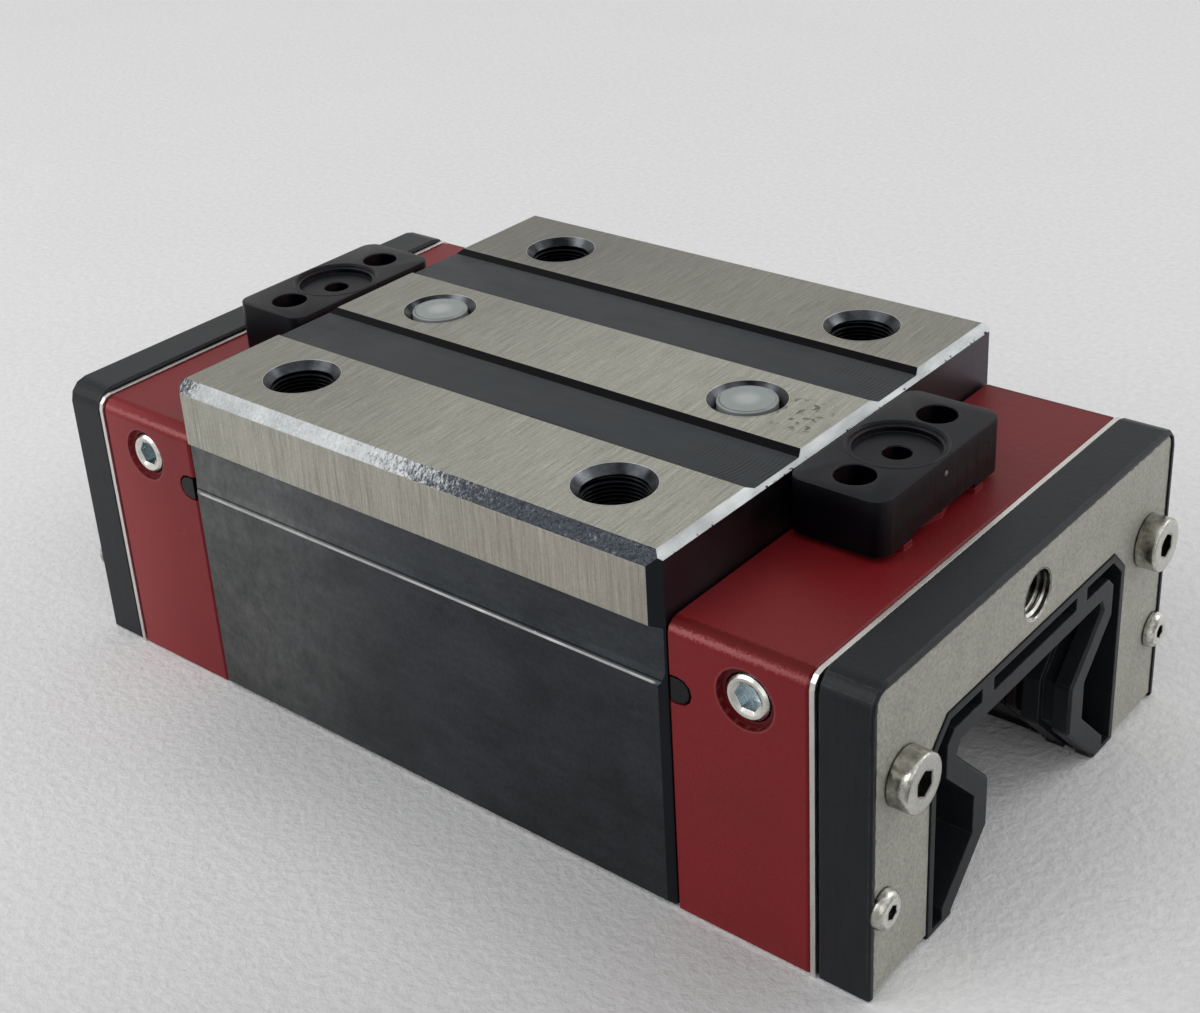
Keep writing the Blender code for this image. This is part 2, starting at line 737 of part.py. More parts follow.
def make_body():
    """The hardened block with its raceways, return bores, turn pockets and tapped holes."""
    loops = [mirrored(body_section())]
    loops += [row_section(circuit, 2 * TURN_RADIUS) for circuit in CIRCUITS]
    body = prism("carriage_body", loops, -BODY_END, BODY_END)
    plan = prism("plan", [body_plan()], BODY_BOTTOM - PAST, BODY_TOP + PAST, FLAT)
    side = prism("side", [body_side()], -BODY_HALF - PAST, BODY_HALF + PAST, SIDEWAYS)
    combine(body, [plan, side], "INTERSECT")
    half_long = HOLE_PITCH_LONG / 2
    half_wide = HOLE_PITCH_WIDE / 2
    tools = [mounting_hole(x, y) for x in (half_long, -half_long) for y in (half_wide, 0, -half_wide)]
    for circuit in CIRCUITS:
        if not circuit.upper:
            tools += turn_cutters_both_ends(circuit)
    bore_floor = BODY_END - CAP_SCREW_GRIP - SCREW_END_ROOM
    tools += cap_screw_bores(bore_floor, BODY_END + PAST)
    tools += cap_screw_bores(-BODY_END - PAST, -bore_floor)
    cut(body, tools)
    finish(body, MATERIALS["steel"], BODY_SHARP_ANGLE)


def turn_cutters_both_ends(circuit):
    """The turn passage at the front and, turned about the middle, the other side's at the rear."""
    front = turn_cutter(circuit, circuit.turn_x)
    return [front, copy_of(front, "rear_turn_cutter", HALF_TURN)]


def make_plugs():
    """The plastic plugs in the two middle holes."""
    top = BODY_TOP - PLUG_SINK
    radius = HOLE_RADIUS - CLEARANCE
    profile = [
        (0, top),
        (radius - PLUG_RIM, top),
        (radius, top - PLUG_RIM),
        (radius, top - PLUG_LENGTH),
        (0, top - PLUG_LENGTH),
    ]
    plug = turned("plug", profile, BORE_STEPS, Matrix.Translation((HOLE_PITCH_LONG / 2, 0, 0)))
    finish(plug, MATERIALS["clear"])
    front_and_rear(plug, "hole_plug")


def cap_outline(inset, top, corner, opening):
    """An end piece's outer shape with its rail opening."""
    half = [(0, top), (CAP_HALF - inset, top, corner), (CAP_HALF - inset, 0)]
    return outline(mirrored(half + list(reversed(opening))))


def make_end_caps():
    """The red end caps: an arch round the return blocks, closed by an end wall."""
    opening = clear_opening(RAIL_GAP, CHANNEL_TOP_GAP, 0)
    loop = cap_outline(0, CAP_TOP, CAP_EDGE_RADIUS, opening)
    cap = prism("end_cap", [loop], CAP_START, CAP_END)
    merge_flat_faces(cap)
    bevel(cap, CAP_EDGE_BEVEL)
    combine(cap, adapter_seats(), "UNION")
    tools = [prism("pocket", [pocket_loop()], CAP_START - PAST, POCKET_END)]
    tools += [port_cutter(side) for _, side in SIDES]
    tools += [tab_slot(side) for _, side in SIDES]
    tools += cap_screw_bores(CAP_START - PAST, CAP_END + PAST)
    tools += button_screw_bores(PLATE_FACE - BUTTON_LENGTH - CLEARANCE, CAP_END + PAST)
    deep = CAP_END - GREASE_HOLE_DEPTH
    tools.append(end_bore(0, GREASE_HOLE_HEIGHT, GREASE_HOLE_RADIUS, deep, CAP_END + PAST, BORE_STEPS))
    tools.append(grease_seat_cutter())
    cut(cap, tools)
    finish(cap, MATERIALS["red"])
    front_and_rear(cap, "end_cap")


def pocket_loop():
    """The pocket for both return blocks, with a shoulder up beside each side of the rail opening."""
    inner = RAIL_HEAD + RAIL_GAP - CLEARANCE
    outer = RAIL_HEAD + SHOULDER_WIDTH
    return mirrored([
        (0, POCKET_TOP),
        (inner, POCKET_TOP),
        (inner, SHOULDER_TOP),
        (outer, SHOULDER_TOP),
        (outer, POCKET_TOP),
        (POCKET_HALF_WIDTH, POCKET_TOP),
        (POCKET_HALF_WIDTH, -PAST),
    ])


def adapter_seats():
    """The low boss and the two pads on a cap that carry its adapter."""
    base = CAP_TOP - PAST
    boss = O_RING_SEAT_RADIUS + ADAPTER_BOSS_WALL
    seats = [rod("boss", boss, base, PAD_TOP, Matrix.Translation((ADAPTER_X, 0, 0)), SMALL_STEPS)]
    inner = ADAPTER_ARCH_WIDTH / 2
    for _, side in SIDES:
        near, far = sorted((side * inner, side * (inner + ADAPTER_PAD_WIDTH)))
        seats.append(box("pad", (ADAPTER_START, near, base), (ADAPTER_END, far, PAD_TOP)))
    return seats


def grease_seat_cutter():
    """The O-ring seat and the grease way in the cap's boss."""
    deep = GREASE_HOLE_HEIGHT + GREASE_HOLE_RADIUS
    floor = PAD_TOP - O_RING_SEAT
    profile = [
        (0, PAD_TOP + PAST),
        (O_RING_SEAT_RADIUS, PAD_TOP + PAST),
        (O_RING_SEAT_RADIUS, floor),
        (ADAPTER_PORT_RADIUS, floor),
        (ADAPTER_PORT_RADIUS, deep - PAST),
        (0, deep - PAST),
    ]
    return turned("grease_seat", profile, SMALL_STEPS, Matrix.Translation((ADAPTER_X, 0, 0)))


def port_matrix(side):
    """A frame at a side port with its Z axis pointing out of the cap."""
    turn = Matrix.Rotation(-side * math.pi / 2, 4, "X")
    return Matrix.Translation((PORT_X, side * CAP_HALF, PORT_HEIGHT)) @ turn


def port_cutter(side):
    """The grease port in a cap's side with its shallow recess."""
    profile = [
        (0, PAST),
        (PORT_RECESS_RADIUS, PAST),
        (PORT_RECESS_RADIUS, -PORT_RECESS_DEPTH),
        (PORT_RADIUS, -PORT_RECESS_DEPTH),
        (PORT_RADIUS, -PORT_DEPTH),
        (0, -PORT_DEPTH),
    ]
    return turned("port", profile, BORE_STEPS, port_matrix(side))


def tab_loop(gap, reach_back):
    """A tab seen from the side: square towards the block and round at its end."""
    half = TAB_HEIGHT / 2 + gap
    start = CAP_START + CLEARANCE - reach_back
    centre = (CAP_START + TAB_LENGTH - TAB_HEIGHT / 2, TAB_LEVEL)
    tip = arc(centre, half, -math.pi / 2, math.pi / 2, 2 * CORNER_STEPS)
    return tip + [(start, TAB_LEVEL + half), (start, TAB_LEVEL - half)]


def tab_slot(side):
    """The slot for a locating tab, open to the block and to the side."""
    outer = CAP_HALF + PAST
    inner = CAP_HALF - TAB_THICKNESS - CLEARANCE
    low, high = sorted((-side * outer, -side * inner))
    return prism("tab_slot", [tab_loop(CLEARANCE, PAST)], low, high, SIDEWAYS)


def make_tabs():
    """The black locating tabs between the caps and the block."""
    for word, side in SIDES:
        low, high = sorted((-side * CAP_HALF, -side * (CAP_HALF - TAB_THICKNESS)))
        tab = prism("tab", [tab_loop(0, 0)], low, high, SIDEWAYS)
        finish(tab, MATERIALS["black"])
        across_corners(tab, word, "locating_tab")


def block_loop():
    """A return block across the rail on the left side, with its shoulder beside the rail opening."""
    opening = clear_opening(RAIL_GAP, CHANNEL_TOP_GAP, BLOCK_BOTTOM)[2:]
    outer = POCKET_HALF_WIDTH - CLEARANCE
    top = POCKET_TOP - CLEARANCE
    shoulder = RAIL_HEAD + SHOULDER_WIDTH - CLEARANCE
    ridge = SHOULDER_TOP - CLEARANCE
    rise = [(outer, BLOCK_BOTTOM), (outer, top), (shoulder, top), (shoulder, ridge)]
    return [(opening[0][0], ridge), *opening, *rise]


def make_return_blocks():
    """The black inserts whose nested passages lead the rollers round at each end."""
    for word, side in SIDES:
        loop = [(side * y, z) for y, z in block_loop()]
        block = prism("block", [loop], CAP_START, BLOCK_END)
        tools = []
        for circuit in CIRCUITS:
            if circuit.centre.y * side > 0:
                start = CAP_START - PAST if circuit.upper else circuit.turn_x
                tools.append(turn_cutter(circuit, start))
        cut(block, tools)
        finish(block, MATERIALS["black"])
        across_corners(block, word, "return_block")


def end_holes(grease_radius):
    """Loops of the grease hole and the screw holes through an end piece."""
    loops = [circle((0, GREASE_HOLE_HEIGHT), grease_radius, BORE_STEPS)]
    cap_radius = CAP_SCREW_RADIUS + CLEARANCE
    button_radius = BUTTON_RADIUS + CLEARANCE
    for _, side in SIDES:
        loops.append(circle((side * CAP_SCREW_OFFSET, CAP_SCREW_HEIGHT), cap_radius, HIDDEN_STEPS))
        loops.append(circle((side * BUTTON_OFFSET, BUTTON_HEIGHT), button_radius, HIDDEN_STEPS))
    return loops


def make_sheets():
    """The thin steel sheets between the caps and the wiper frames."""
    opening = clear_opening(RAIL_GAP, CHANNEL_TOP_GAP, 0)
    loop = cap_outline(-SHEET_PROUD, CAP_TOP + SHEET_PROUD, CAP_EDGE_RADIUS, opening)
    sheet = prism("sheet", [loop] + end_holes(GREASE_COLLAR_RADIUS + CLEARANCE), SHEET_START, SHEET_END)
    finish(sheet, MATERIALS["sheet"])
    front_and_rear(sheet, "backing_sheet")


def lip_inner():
    """The wiping edge that follows the rail."""
    half = rail_opening(RAIL_HEAD, RAIL_WAIST, 0, RAIL_TOP, 0)
    return [half[0], (RAIL_HEAD - LIP_CORNER, RAIL_TOP)] + half[2:]


def lip_outer():
    """The back of the wiping lip, down to its foot."""
    side = RAIL_HEAD + LIP_SIDE
    return rail_opening(side, RAIL_WAIST + LIP_WAIST, LIP_FLANK, RAIL_TOP + LIP_TOP, LIP_FOOT)


def side_gap_loop():
    """The open gap between the lip and the frame's side, on the left."""
    back = lip_outer()
    side = back[1][0]
    top = back[0][1]
    cut_corner = FRAME_OPENING_CHAMFER
    rim_top = FRAME_OPENING_TOP
    return [
        (SLOT_END, top),
        (side - 2 * LIP_CORNER, top),
        (side, top - 2 * LIP_CORNER),
        *back[2:],
        (FRAME_OPENING, LIP_FOOT),
        (FRAME_OPENING, rim_top - cut_corner),
        (FRAME_OPENING - cut_corner, rim_top),
        (SLOT_END, rim_top),
    ]


def slot_cutters():
    """The shallow slots over the lip, one in the middle and one beside each web."""
    low = RAIL_TOP + LIP_TOP
    end = SLOT_END + CLEARANCE
    spans = [(-WEB_INNER, WEB_INNER), (WEB_OUTER, end), (-end, -WEB_OUTER)]
    floor = FRAME_END - SLOT_DEPTH
    face = FRAME_END + PAST
    return [box("slot", (floor, near, low), (face, far, FRAME_OPENING_TOP)) for near, far in spans]


def plate_half(gap, bottom):
    """The left half of the wiper plate round the frame's inner rim, larger by a gap for its seat."""
    outer = CAP_HALF - FRAME_RIM + gap
    top = FRAME_TOP - FRAME_RIM + gap
    edge = FRAME_OPENING + PLATE_OPENING_EDGE - gap
    ceiling = FRAME_OPENING_TOP + PLATE_OPENING_EDGE - gap
    corner = FRAME_OPENING_CHAMFER + (PLATE_OPENING_EDGE - gap) / 2
    return [
        (0, top),
        (outer, top, PLATE_CORNER),
        (outer, bottom),
        (edge, bottom),
        (edge, ceiling - corner),
        (edge - corner, ceiling),
        (0, ceiling),
    ]


def make_frames():
    """The black wiper frames, each with its lip, slots and plate seat in one moulding."""
    half = [(0, FRAME_TOP), (CAP_HALF, FRAME_TOP, FRAME_CORNER), (CAP_HALF, 0)]
    loop = outline(mirrored(half + list(reversed(lip_inner()))))
    frame = prism("frame", [loop], FRAME_START, FRAME_END)
    merge_flat_faces(frame)
    bevel(frame, FRAME_BEVEL)
    start = FRAME_START - PAST
    end = FRAME_END + PAST
    seat = outline(mirrored(plate_half(CLEARANCE / 2, -PAST)))
    tools = [prism("seat", [seat], PLATE_BACK - SEAM, end)]
    for _, side in SIDES:
        tools.append(prism("gap", [[(side * y, z) for y, z in side_gap_loop()]], start, end))
    tools += slot_cutters()
    groove = mirrored(clear_opening(LIP_GROOVE_DEPTH, LIP_GROOVE_DEPTH, -PAST))
    groove_start = FRAME_START + LIP_GROOVE_START
    tools.append(prism("groove", [groove], groove_start, groove_start + LIP_GROOVE_WIDTH))
    tools += cap_screw_bores(start, end)
    tools += button_screw_bores(start, end)
    collar = GREASE_COLLAR_RADIUS + CLEARANCE
    tools.append(end_bore(0, GREASE_HOLE_HEIGHT, collar, start, end, BORE_STEPS))
    cut(frame, tools)
    finish(frame, MATERIALS["black"])
    front_and_rear(frame, "wiper_frame")


def make_plates():
    """The grey steel plates, each with a pressed collar for the tapped grease hole."""
    loops = [outline(mirrored(plate_half(0, PLATE_BOTTOM)))] + end_holes(GREASE_HOLE_RADIUS)
    plate = prism("plate", loops, PLATE_BACK, PLATE_FACE)
    place = (0, GREASE_HOLE_HEIGHT)
    ring = [circle(place, radius, BORE_STEPS) for radius in (GREASE_COLLAR_RADIUS, GREASE_HOLE_RADIUS)]
    collar = prism("collar", ring, PLATE_BACK - GREASE_COLLAR_LENGTH, PLATE_BACK + PLATE_THICKNESS / 2)
    combine(plate, [collar], "UNION")
    finish(plate, MATERIALS["grey"])
    front_and_rear(plate, "wiper_plate")


def socket_screw(profile, socket_radius, socket_depth, matrix):
    """A turned screw with a hexagon socket in its top."""
    screw = turned("screw", profile, SMALL_STEPS, matrix)
    top = profile[0][1]
    cut(screw, [prism("socket", [hexagon(socket_radius)], top - socket_depth, top + PAST, matrix)])
    return finish(screw, MATERIALS["zinc"])


def make_port_screws():
    """The socket set screws that close the side ports."""
    top = -PORT_SCREW_SINK
    radius = PORT_RADIUS - CLEARANCE
    bottom = top - PORT_SCREW_LENGTH
    rim = [(radius - SCREW_EDGE, top), (radius, top - SCREW_EDGE)]
    profile = [(0, top), *rim, (radius, bottom), (0, bottom)]
    for word, side in SIDES:
        screw = socket_screw(profile, PORT_SOCKET, PORT_SOCKET_DEPTH, port_matrix(side))
        across_corners(screw, word, "port_screw")


def make_cap_screws():
    """The long screws that hold each end's stack to the block."""
    length = PLATE_FACE + SEAM - BODY_END + CAP_SCREW_GRIP
    profile = [
        (0, CAP_SCREW_HEAD_HEIGHT),
        (CAP_SCREW_HEAD_RADIUS - SCREW_EDGE, CAP_SCREW_HEAD_HEIGHT),
        (CAP_SCREW_HEAD_RADIUS, CAP_SCREW_HEAD_HEIGHT - SCREW_EDGE),
        (CAP_SCREW_HEAD_RADIUS, 0),
        (CAP_SCREW_RADIUS, 0),
        (CAP_SCREW_RADIUS, -length),
        (0, -length),
    ]
    for word, side in SIDES:
        place = Matrix.Translation((PLATE_FACE + SEAM, side * CAP_SCREW_OFFSET, CAP_SCREW_HEIGHT))
        screw = socket_screw(profile, CAP_SCREW_SOCKET, CAP_SCREW_SOCKET_DEPTH, place @ ACROSS)
        across_corners(screw, word, "cap_screw")


def make_button_screws():
    """The short domed screws that hold each wiper frame and plate to its cap."""
    profile = [(0, BUTTON_HEAD_HEIGHT)]
    profile += quarter_round((BUTTON_FLAT_RADIUS, BUTTON_HEAD_HEIGHT), (BUTTON_HEAD_RADIUS, BUTTON_RIM))
    profile += [(BUTTON_HEAD_RADIUS, 0), (BUTTON_RADIUS, 0)]
    profile += [(BUTTON_RADIUS, -BUTTON_LENGTH), (0, -BUTTON_LENGTH)]
    for word, side in SIDES:
        place = Matrix.Translation((PLATE_FACE + SEAM, side * BUTTON_OFFSET, BUTTON_HEIGHT))
        screw = socket_screw(profile, BUTTON_SOCKET, BUTTON_SOCKET_DEPTH, place @ ACROSS)
        across_corners(screw, word, "button_screw")


def adapter_cutters():
    """The grease port with its recess, the two deep holes and the arch in an adapter."""
    top = ADAPTER_TOP + PAST
    bottom = ADAPTER_BOTTOM - PAST
    recess = ADAPTER_TOP - ADAPTER_RECESS_DEPTH
    port = [
        (0, top),
        (ADAPTER_RECESS_RADIUS, top),
        (ADAPTER_RECESS_RADIUS, recess),
        (ADAPTER_PORT_RADIUS, recess),
        (ADAPTER_PORT_RADIUS, bottom),
        (0, bottom),
    ]
    arch_side = (ADAPTER_ARCH_WIDTH / 2, ADAPTER_BOTTOM + ADAPTER_ARCH_HEIGHT)
    arch = mirrored([(arch_side[0] + ADAPTER_ARCH_HEIGHT + PAST, bottom), arch_side])
    tools = [prism("arch", [arch], ADAPTER_START - PAST, ADAPTER_END + PAST)]
    tools.append(turned("port", port, BORE_STEPS, Matrix.Translation((ADAPTER_X, 0, 0))))
    tools.append(o_ring_seat())
    for _, side in SIDES:
        place = Matrix.Translation((ADAPTER_X, side * ADAPTER_HOLE_OFFSET, 0))
        tools.append(rod("hole", ADAPTER_HOLE_RADIUS, bottom, top, place, BORE_STEPS))
    return tools


def make_adapters():
    """The black grease adapters on the caps."""
    edge = ADAPTER_WIDTH / 2
    corners = [(ADAPTER_START, -edge), (ADAPTER_END, -edge), (ADAPTER_END, edge), (ADAPTER_START, edge)]
    loop = outline([(x, y, ADAPTER_CORNER) for x, y in corners])
    adapter = prism("adapter", [loop], ADAPTER_BOTTOM, ADAPTER_TOP, FLAT)
    bevel(adapter, ADAPTER_BEVEL)
    cut(adapter, adapter_cutters())
    finish(adapter, MATERIALS["black"])
    front_and_rear(adapter, "grease_adapter")


def o_ring_seat():
    """The groove in the adapter's underside that takes the O-ring."""
    ceiling = ADAPTER_BOTTOM + O_RING_SEAT + CLEARANCE
    inner = O_RING_RADIUS - O_RING_SECTION - CLEARANCE
    floor = ADAPTER_BOTTOM - PAST
    rings = [circle((0, 0), radius) for radius in (O_RING_SEAT_RADIUS, inner)]
    return prism("o_ring_seat", rings, floor, ceiling, Matrix.Translation((ADAPTER_X, 0, 0)))


def make_o_rings():
    """The O-rings between the adapters and the caps."""
    bpy.ops.mesh.primitive_torus_add(
        major_radius=O_RING_RADIUS,
        minor_radius=O_RING_SECTION,
        major_segments=RING_STEPS,
        minor_segments=RING_SECTION_STEPS,
        location=(ADAPTER_X, 0, ADAPTER_BOTTOM),
    )
    ring = bpy.context.object
    bpy.context.view_layer.update()
    finish(ring, MATERIALS["rubber"])
    front_and_rear(ring, "adapter_o_ring")


def strip(name, loop, material):
    """A strip along the channel inside the block."""
    piece = prism(name, [loop], -BODY_END + STRIP_END_GAP, BODY_END - STRIP_END_GAP)
    return finish(piece, material)


def pair_of_strips(name, loop, material):
    """The same strip on the left and, turned half way round, on the right."""
    left = strip("left_" + name, loop, material)
    copy_of(left, "right_" + name, HALF_TURN)


def make_top_retainer():
    """The wide plastic strip under the channel's ceiling, which guides the upper rollers' outer ends."""
    _, race, _, outer = upper_lines()
    side = RAIL_HEAD + RAIL_GAP
    wall = CHANNEL_WALL - CLEARANCE
    ceiling = CHANNEL_CEILING - CLEARANCE
    half = [
        (0, RAIL_TOP + CHANNEL_TOP_GAP),
        (side, RAIL_TOP + CHANNEL_TOP_GAP),
        (side, outer - side),
        meeting(outer, race),
        (wall, wall - race),
        (wall, ceiling),
        (0, ceiling),
    ]
    strip("top_retainer", mirrored(half), MATERIALS["black"])


def make_middle_retainers():
    """The plastic strips in the rail's waist, between the upper and the lower rollers."""
    upper_rail, _, upper_inner, _ = upper_lines()
    lower_rail, _, lower_inner, _ = lower_lines()
    waist = RAIL_WAIST + RAIL_GAP
    nose = NOSE - CLEARANCE
    loop = [
        (waist, lower_rail - waist),
        meeting(lower_rail, lower_inner),
        (nose, nose - lower_inner),
        (nose, upper_inner - nose),
        meeting(upper_inner, upper_rail),
        (waist, waist - upper_rail),
    ]
    pair_of_strips("middle_retainer", loop, MATERIALS["black"])


def make_bottom_retainers():
    """The plastic strips under the lower rollers."""
    rail, race, _, outer = lower_lines()
    shelf = BODY_BOTTOM + SEAL_SEAT_DEPTH
    leg = LEG_WALL - CLEARANCE
    foot = [(rail - shelf, shelf), (leg, shelf), (leg, race - leg)]
    loop = [meeting(rail, outer), *foot, meeting(race, outer)]
    pair_of_strips("bottom_retainer", loop, MATERIALS["black"])


def make_bottom_seals():
    """The seals along the rail's foot, with a thin lip towards the rail."""
    root = RAIL_HEAD + RAIL_GAP
    outer = LEG_WALL + SEAL_SEAT_WIDTH - CLEARANCE
    top = BODY_BOTTOM + SEAL_SEAT_DEPTH - CLEARANCE
    loop = [(RAIL_HEAD - SEAL_LIP, BODY_BOTTOM), (outer, BODY_BOTTOM), (outer, top), (root, top)]
    pair_of_strips("bottom_seal", loop, MATERIALS["rubber"])


def make_roller_chains():
    """The caged rollers of each circuit: the loaded row, the return row and the two turns."""
    for circuit in CIRCUITS:
        pieces = [
            roller_row(circuit.name + "_loaded_rollers", circuit, 0),
            roller_row(circuit.name + "_return_rollers", circuit, 2 * TURN_RADIUS),
            roller_turn(circuit.name + "_front_turn_rollers", circuit, 1),
            roller_turn(circuit.name + "_rear_turn_rollers", circuit, -1),
        ]
        for piece in pieces:
            finish(piece, MATERIALS["roller"])


clear_scene()
PARTS = bpy.data.collections.new("linear_guide_carriage")
CUTTERS = bpy.data.collections.new("cutters")
for collection in (PARTS, CUTTERS):
    bpy.context.scene.collection.children.link(collection)
MATERIALS = {
    "steel": make_material("hardened_steel", (0.21, 0.21, 0.20), 0.35, 1.0),
    "sheet": make_material("sheet_steel", (0.45, 0.45, 0.44), 0.30, 1.0),
    "grey": make_material("grey_plate", (0.30, 0.30, 0.27), 0.55, 0.6),
    "zinc": make_material("plated_screws", (0.55, 0.56, 0.56), 0.25, 1.0),
    "roller": make_material("roller_steel", (0.45, 0.45, 0.45), 0.15, 1.0),
    "red": make_material("red_plastic", (0.18, 0.02, 0.025), 0.40, 0.0),
    "black": make_material("black_plastic", (0.018, 0.019, 0.021), 0.45, 0.0),
    "rubber": make_material("black_rubber", (0.015, 0.015, 0.015), 0.60, 0.0),
    "clear": make_material("milky_plastic", (0.45, 0.47, 0.47), 0.30, 0.0),
}
CIRCUITS = [
    Circuit("left_upper", 1, True),
    Circuit("left_lower", 1, False),
    Circuit("right_upper", -1, True),
    Circuit("right_lower", -1, False),
]
make_body()
make_plugs()
make_end_caps()
make_return_blocks()
make_tabs()
make_adapters()
make_o_rings()
make_sheets()
make_frames()
make_plates()
make_port_screws()
make_cap_screws()
make_button_screws()
make_top_retainer()
make_middle_retainers()
make_bottom_retainers()
make_bottom_seals()
make_roller_chains()
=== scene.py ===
"""Finishes, lights and camera for a linear guide carriage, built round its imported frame."""

import math

import bmesh
import bpy
from bpy.props import FloatProperty, FloatVectorProperty, IntProperty, PointerProperty
from bpy.types import Operator, Panel, PropertyGroup
from mathutils import Matrix, Vector


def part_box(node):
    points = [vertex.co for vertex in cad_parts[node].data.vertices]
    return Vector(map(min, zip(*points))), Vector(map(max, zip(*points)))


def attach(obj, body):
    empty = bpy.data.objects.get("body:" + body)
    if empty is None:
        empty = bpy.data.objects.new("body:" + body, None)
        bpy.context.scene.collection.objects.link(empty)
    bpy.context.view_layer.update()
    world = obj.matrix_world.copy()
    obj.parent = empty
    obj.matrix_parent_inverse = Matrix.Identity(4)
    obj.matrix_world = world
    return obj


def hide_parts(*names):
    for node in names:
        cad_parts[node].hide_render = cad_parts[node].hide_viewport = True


bl_info = {
    "name": "Linear guide carriage",
    "version": (1, 0, 0),
    "blender": (4, 5, 0),
    "location": "3D View > Sidebar > Carriage",
    "description": "Gives a packed linear guide carriage its finishes, threads, lights and camera",
    "category": "Object",
}

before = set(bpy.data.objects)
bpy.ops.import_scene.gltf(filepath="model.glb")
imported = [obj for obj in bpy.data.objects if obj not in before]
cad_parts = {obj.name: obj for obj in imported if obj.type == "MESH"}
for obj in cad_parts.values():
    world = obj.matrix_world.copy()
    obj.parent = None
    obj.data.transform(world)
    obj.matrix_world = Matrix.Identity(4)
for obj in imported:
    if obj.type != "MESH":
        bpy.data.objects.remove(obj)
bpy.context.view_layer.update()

# Places on the carriage, read from its own nodes
BODY_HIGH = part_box("carriage_body")[1]
PLATE_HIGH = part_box("front_wiper_plate")[1]
CAP_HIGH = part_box("front_end_cap")[1]
FRAME_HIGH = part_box("front_wiper_frame")[1]
PLUG_LOW, PLUG_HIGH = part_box("front_hole_plug")
ADAPTER_LOW, ADAPTER_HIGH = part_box("front_grease_adapter")
PORT_LOW, PORT_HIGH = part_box("front_left_port_screw")
CAP_SCREW_LOW, CAP_SCREW_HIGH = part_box("front_left_cap_screw")
BUTTON_LOW, BUTTON_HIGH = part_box("front_left_button_screw")
HOLE_X = (PLUG_LOW.x + PLUG_HIGH.x) / 2
HOLE_Y = 0.0250
HOLE_RADIUS = 0.0040
SINK_RADIUS = 0.0050
SINK_DEPTH = 0.0010
CAP_TOP = 0.0383
CAP_EDGE = 0.0018
PORT_RECESS = 0.0036
OPENING_HALF = 0.0255
OPENING_TOP = 0.0285
FRAME_CORNER = 0.0027
GREASE_HOLE_RADIUS = 0.0030
GREASE_HOLE_HEIGHT = 0.0325
GREASE_EDGE = 0.00012
LEDGE_HEIGHT = 0.0300
HALF_TURN = Matrix.Rotation(math.pi, 4, "Z")
OUTWARD = Matrix.Rotation(math.pi / 2, 4, "Y")


def shade(red, green, blue):
    """A colour in linear light from its display values of 0 to 255."""
    channels = []
    for value in (red, green, blue):
        level = value / 255
        channels.append(level / 12.92 if level <= 0.04045 else ((level + 0.055) / 1.055) ** 2.4)
    return tuple(channels)


def colour_setting(name, description, *display):
    """A colour that the user can change, given by its display values."""
    default = shade(*display)
    return FloatVectorProperty(name=name, description=description, default=default, min=0, max=1, subtype="COLOR")


def length_setting(name, description, default):
    """A length in metres that the user can change."""
    return FloatProperty(name=name, description=description, default=default, min=0, precision=5, unit="LENGTH")


class CarriageStageSettings(PropertyGroup):
    floor_colour: colour_setting("Floor", "Colour of the paper under the carriage", 222, 222, 223)
    backdrop_colour: colour_setting("Backdrop", "Colour seen past the floor", 221, 221, 220)
    room_level: FloatProperty(name="Room", description="Strength of the light from all round", default=0.91)
    window_power: FloatProperty(name="Window", description="Power of the big soft light", default=2.2)
    fill_power: FloatProperty(name="Fill", description="Power of the weak light before the front end", default=0.7)
    far_power: FloatProperty(name="Far light", description="Power of the light behind the front end", default=1.35)


class CarriageSteelSettings(PropertyGroup):
    ground_colour: colour_setting("Ground faces", "Colour of the ground steel", 172, 171, 160)
    chamfer_colour: colour_setting("Chamfers", "Colour of the bright chamfers", 164, 167, 168)
    dark_colour: colour_setting("Dark faces", "Colour of the hardened dark steel", 62, 65, 69)
    # Near black: painted shade inside the holes.
    bore_shade_colour: colour_setting("Holes", "Colour inside the threaded holes", 26, 27, 30)
    line_spacing: length_setting("Grinding lines", "Distance between the grinding lines", 0.00024)
    thread_pitch: length_setting("Thread pitch", "Pitch of the mounting threads", 0.00052)
    thread_depth: length_setting("Thread depth", "Height of a mounting thread's ridge", 0.00026)


class CarriagePlasticSettings(PropertyGroup):
    red_colour: colour_setting("Red", "Colour of the end caps", 114, 23, 28)
    black_colour: colour_setting("Black", "Colour of the black mouldings", 25, 27, 31)
    rubber_colour: colour_setting("Rubber", "Colour of the O-rings and seals", 26, 26, 28)
    plug_colour: colour_setting("Plugs", "Colour of the milky hole plugs", 129, 136, 135)


class CarriageEndSettings(PropertyGroup):
    plate_colour: colour_setting("Plates", "Colour of the grey wiper plates", 168, 167, 158)
    screw_colour: colour_setting("Screws", "Colour of the plated screws", 222, 221, 214)
    socket_colour: colour_setting("Sockets", "Colour of the set screws' sockets", 186, 196, 200)
    sheet_colour: colour_setting("Sheets", "Colour of the thin steel sheets", 222, 218, 214)
    roller_colour: colour_setting("Rollers", "Colour of the rollers", 190, 190, 190)
    thread_pitch: length_setting("Thread pitch", "Pitch of the grease hole's thread", 0.00075)
    thread_depth: length_setting("Thread depth", "Height of the grease thread's ridge", 0.00035)
    thread_steps: IntProperty(name="Thread steps", description="Facets in one turn of a thread", default=40, min=12)


LEAN = 0.06
MICRON = 0.000001


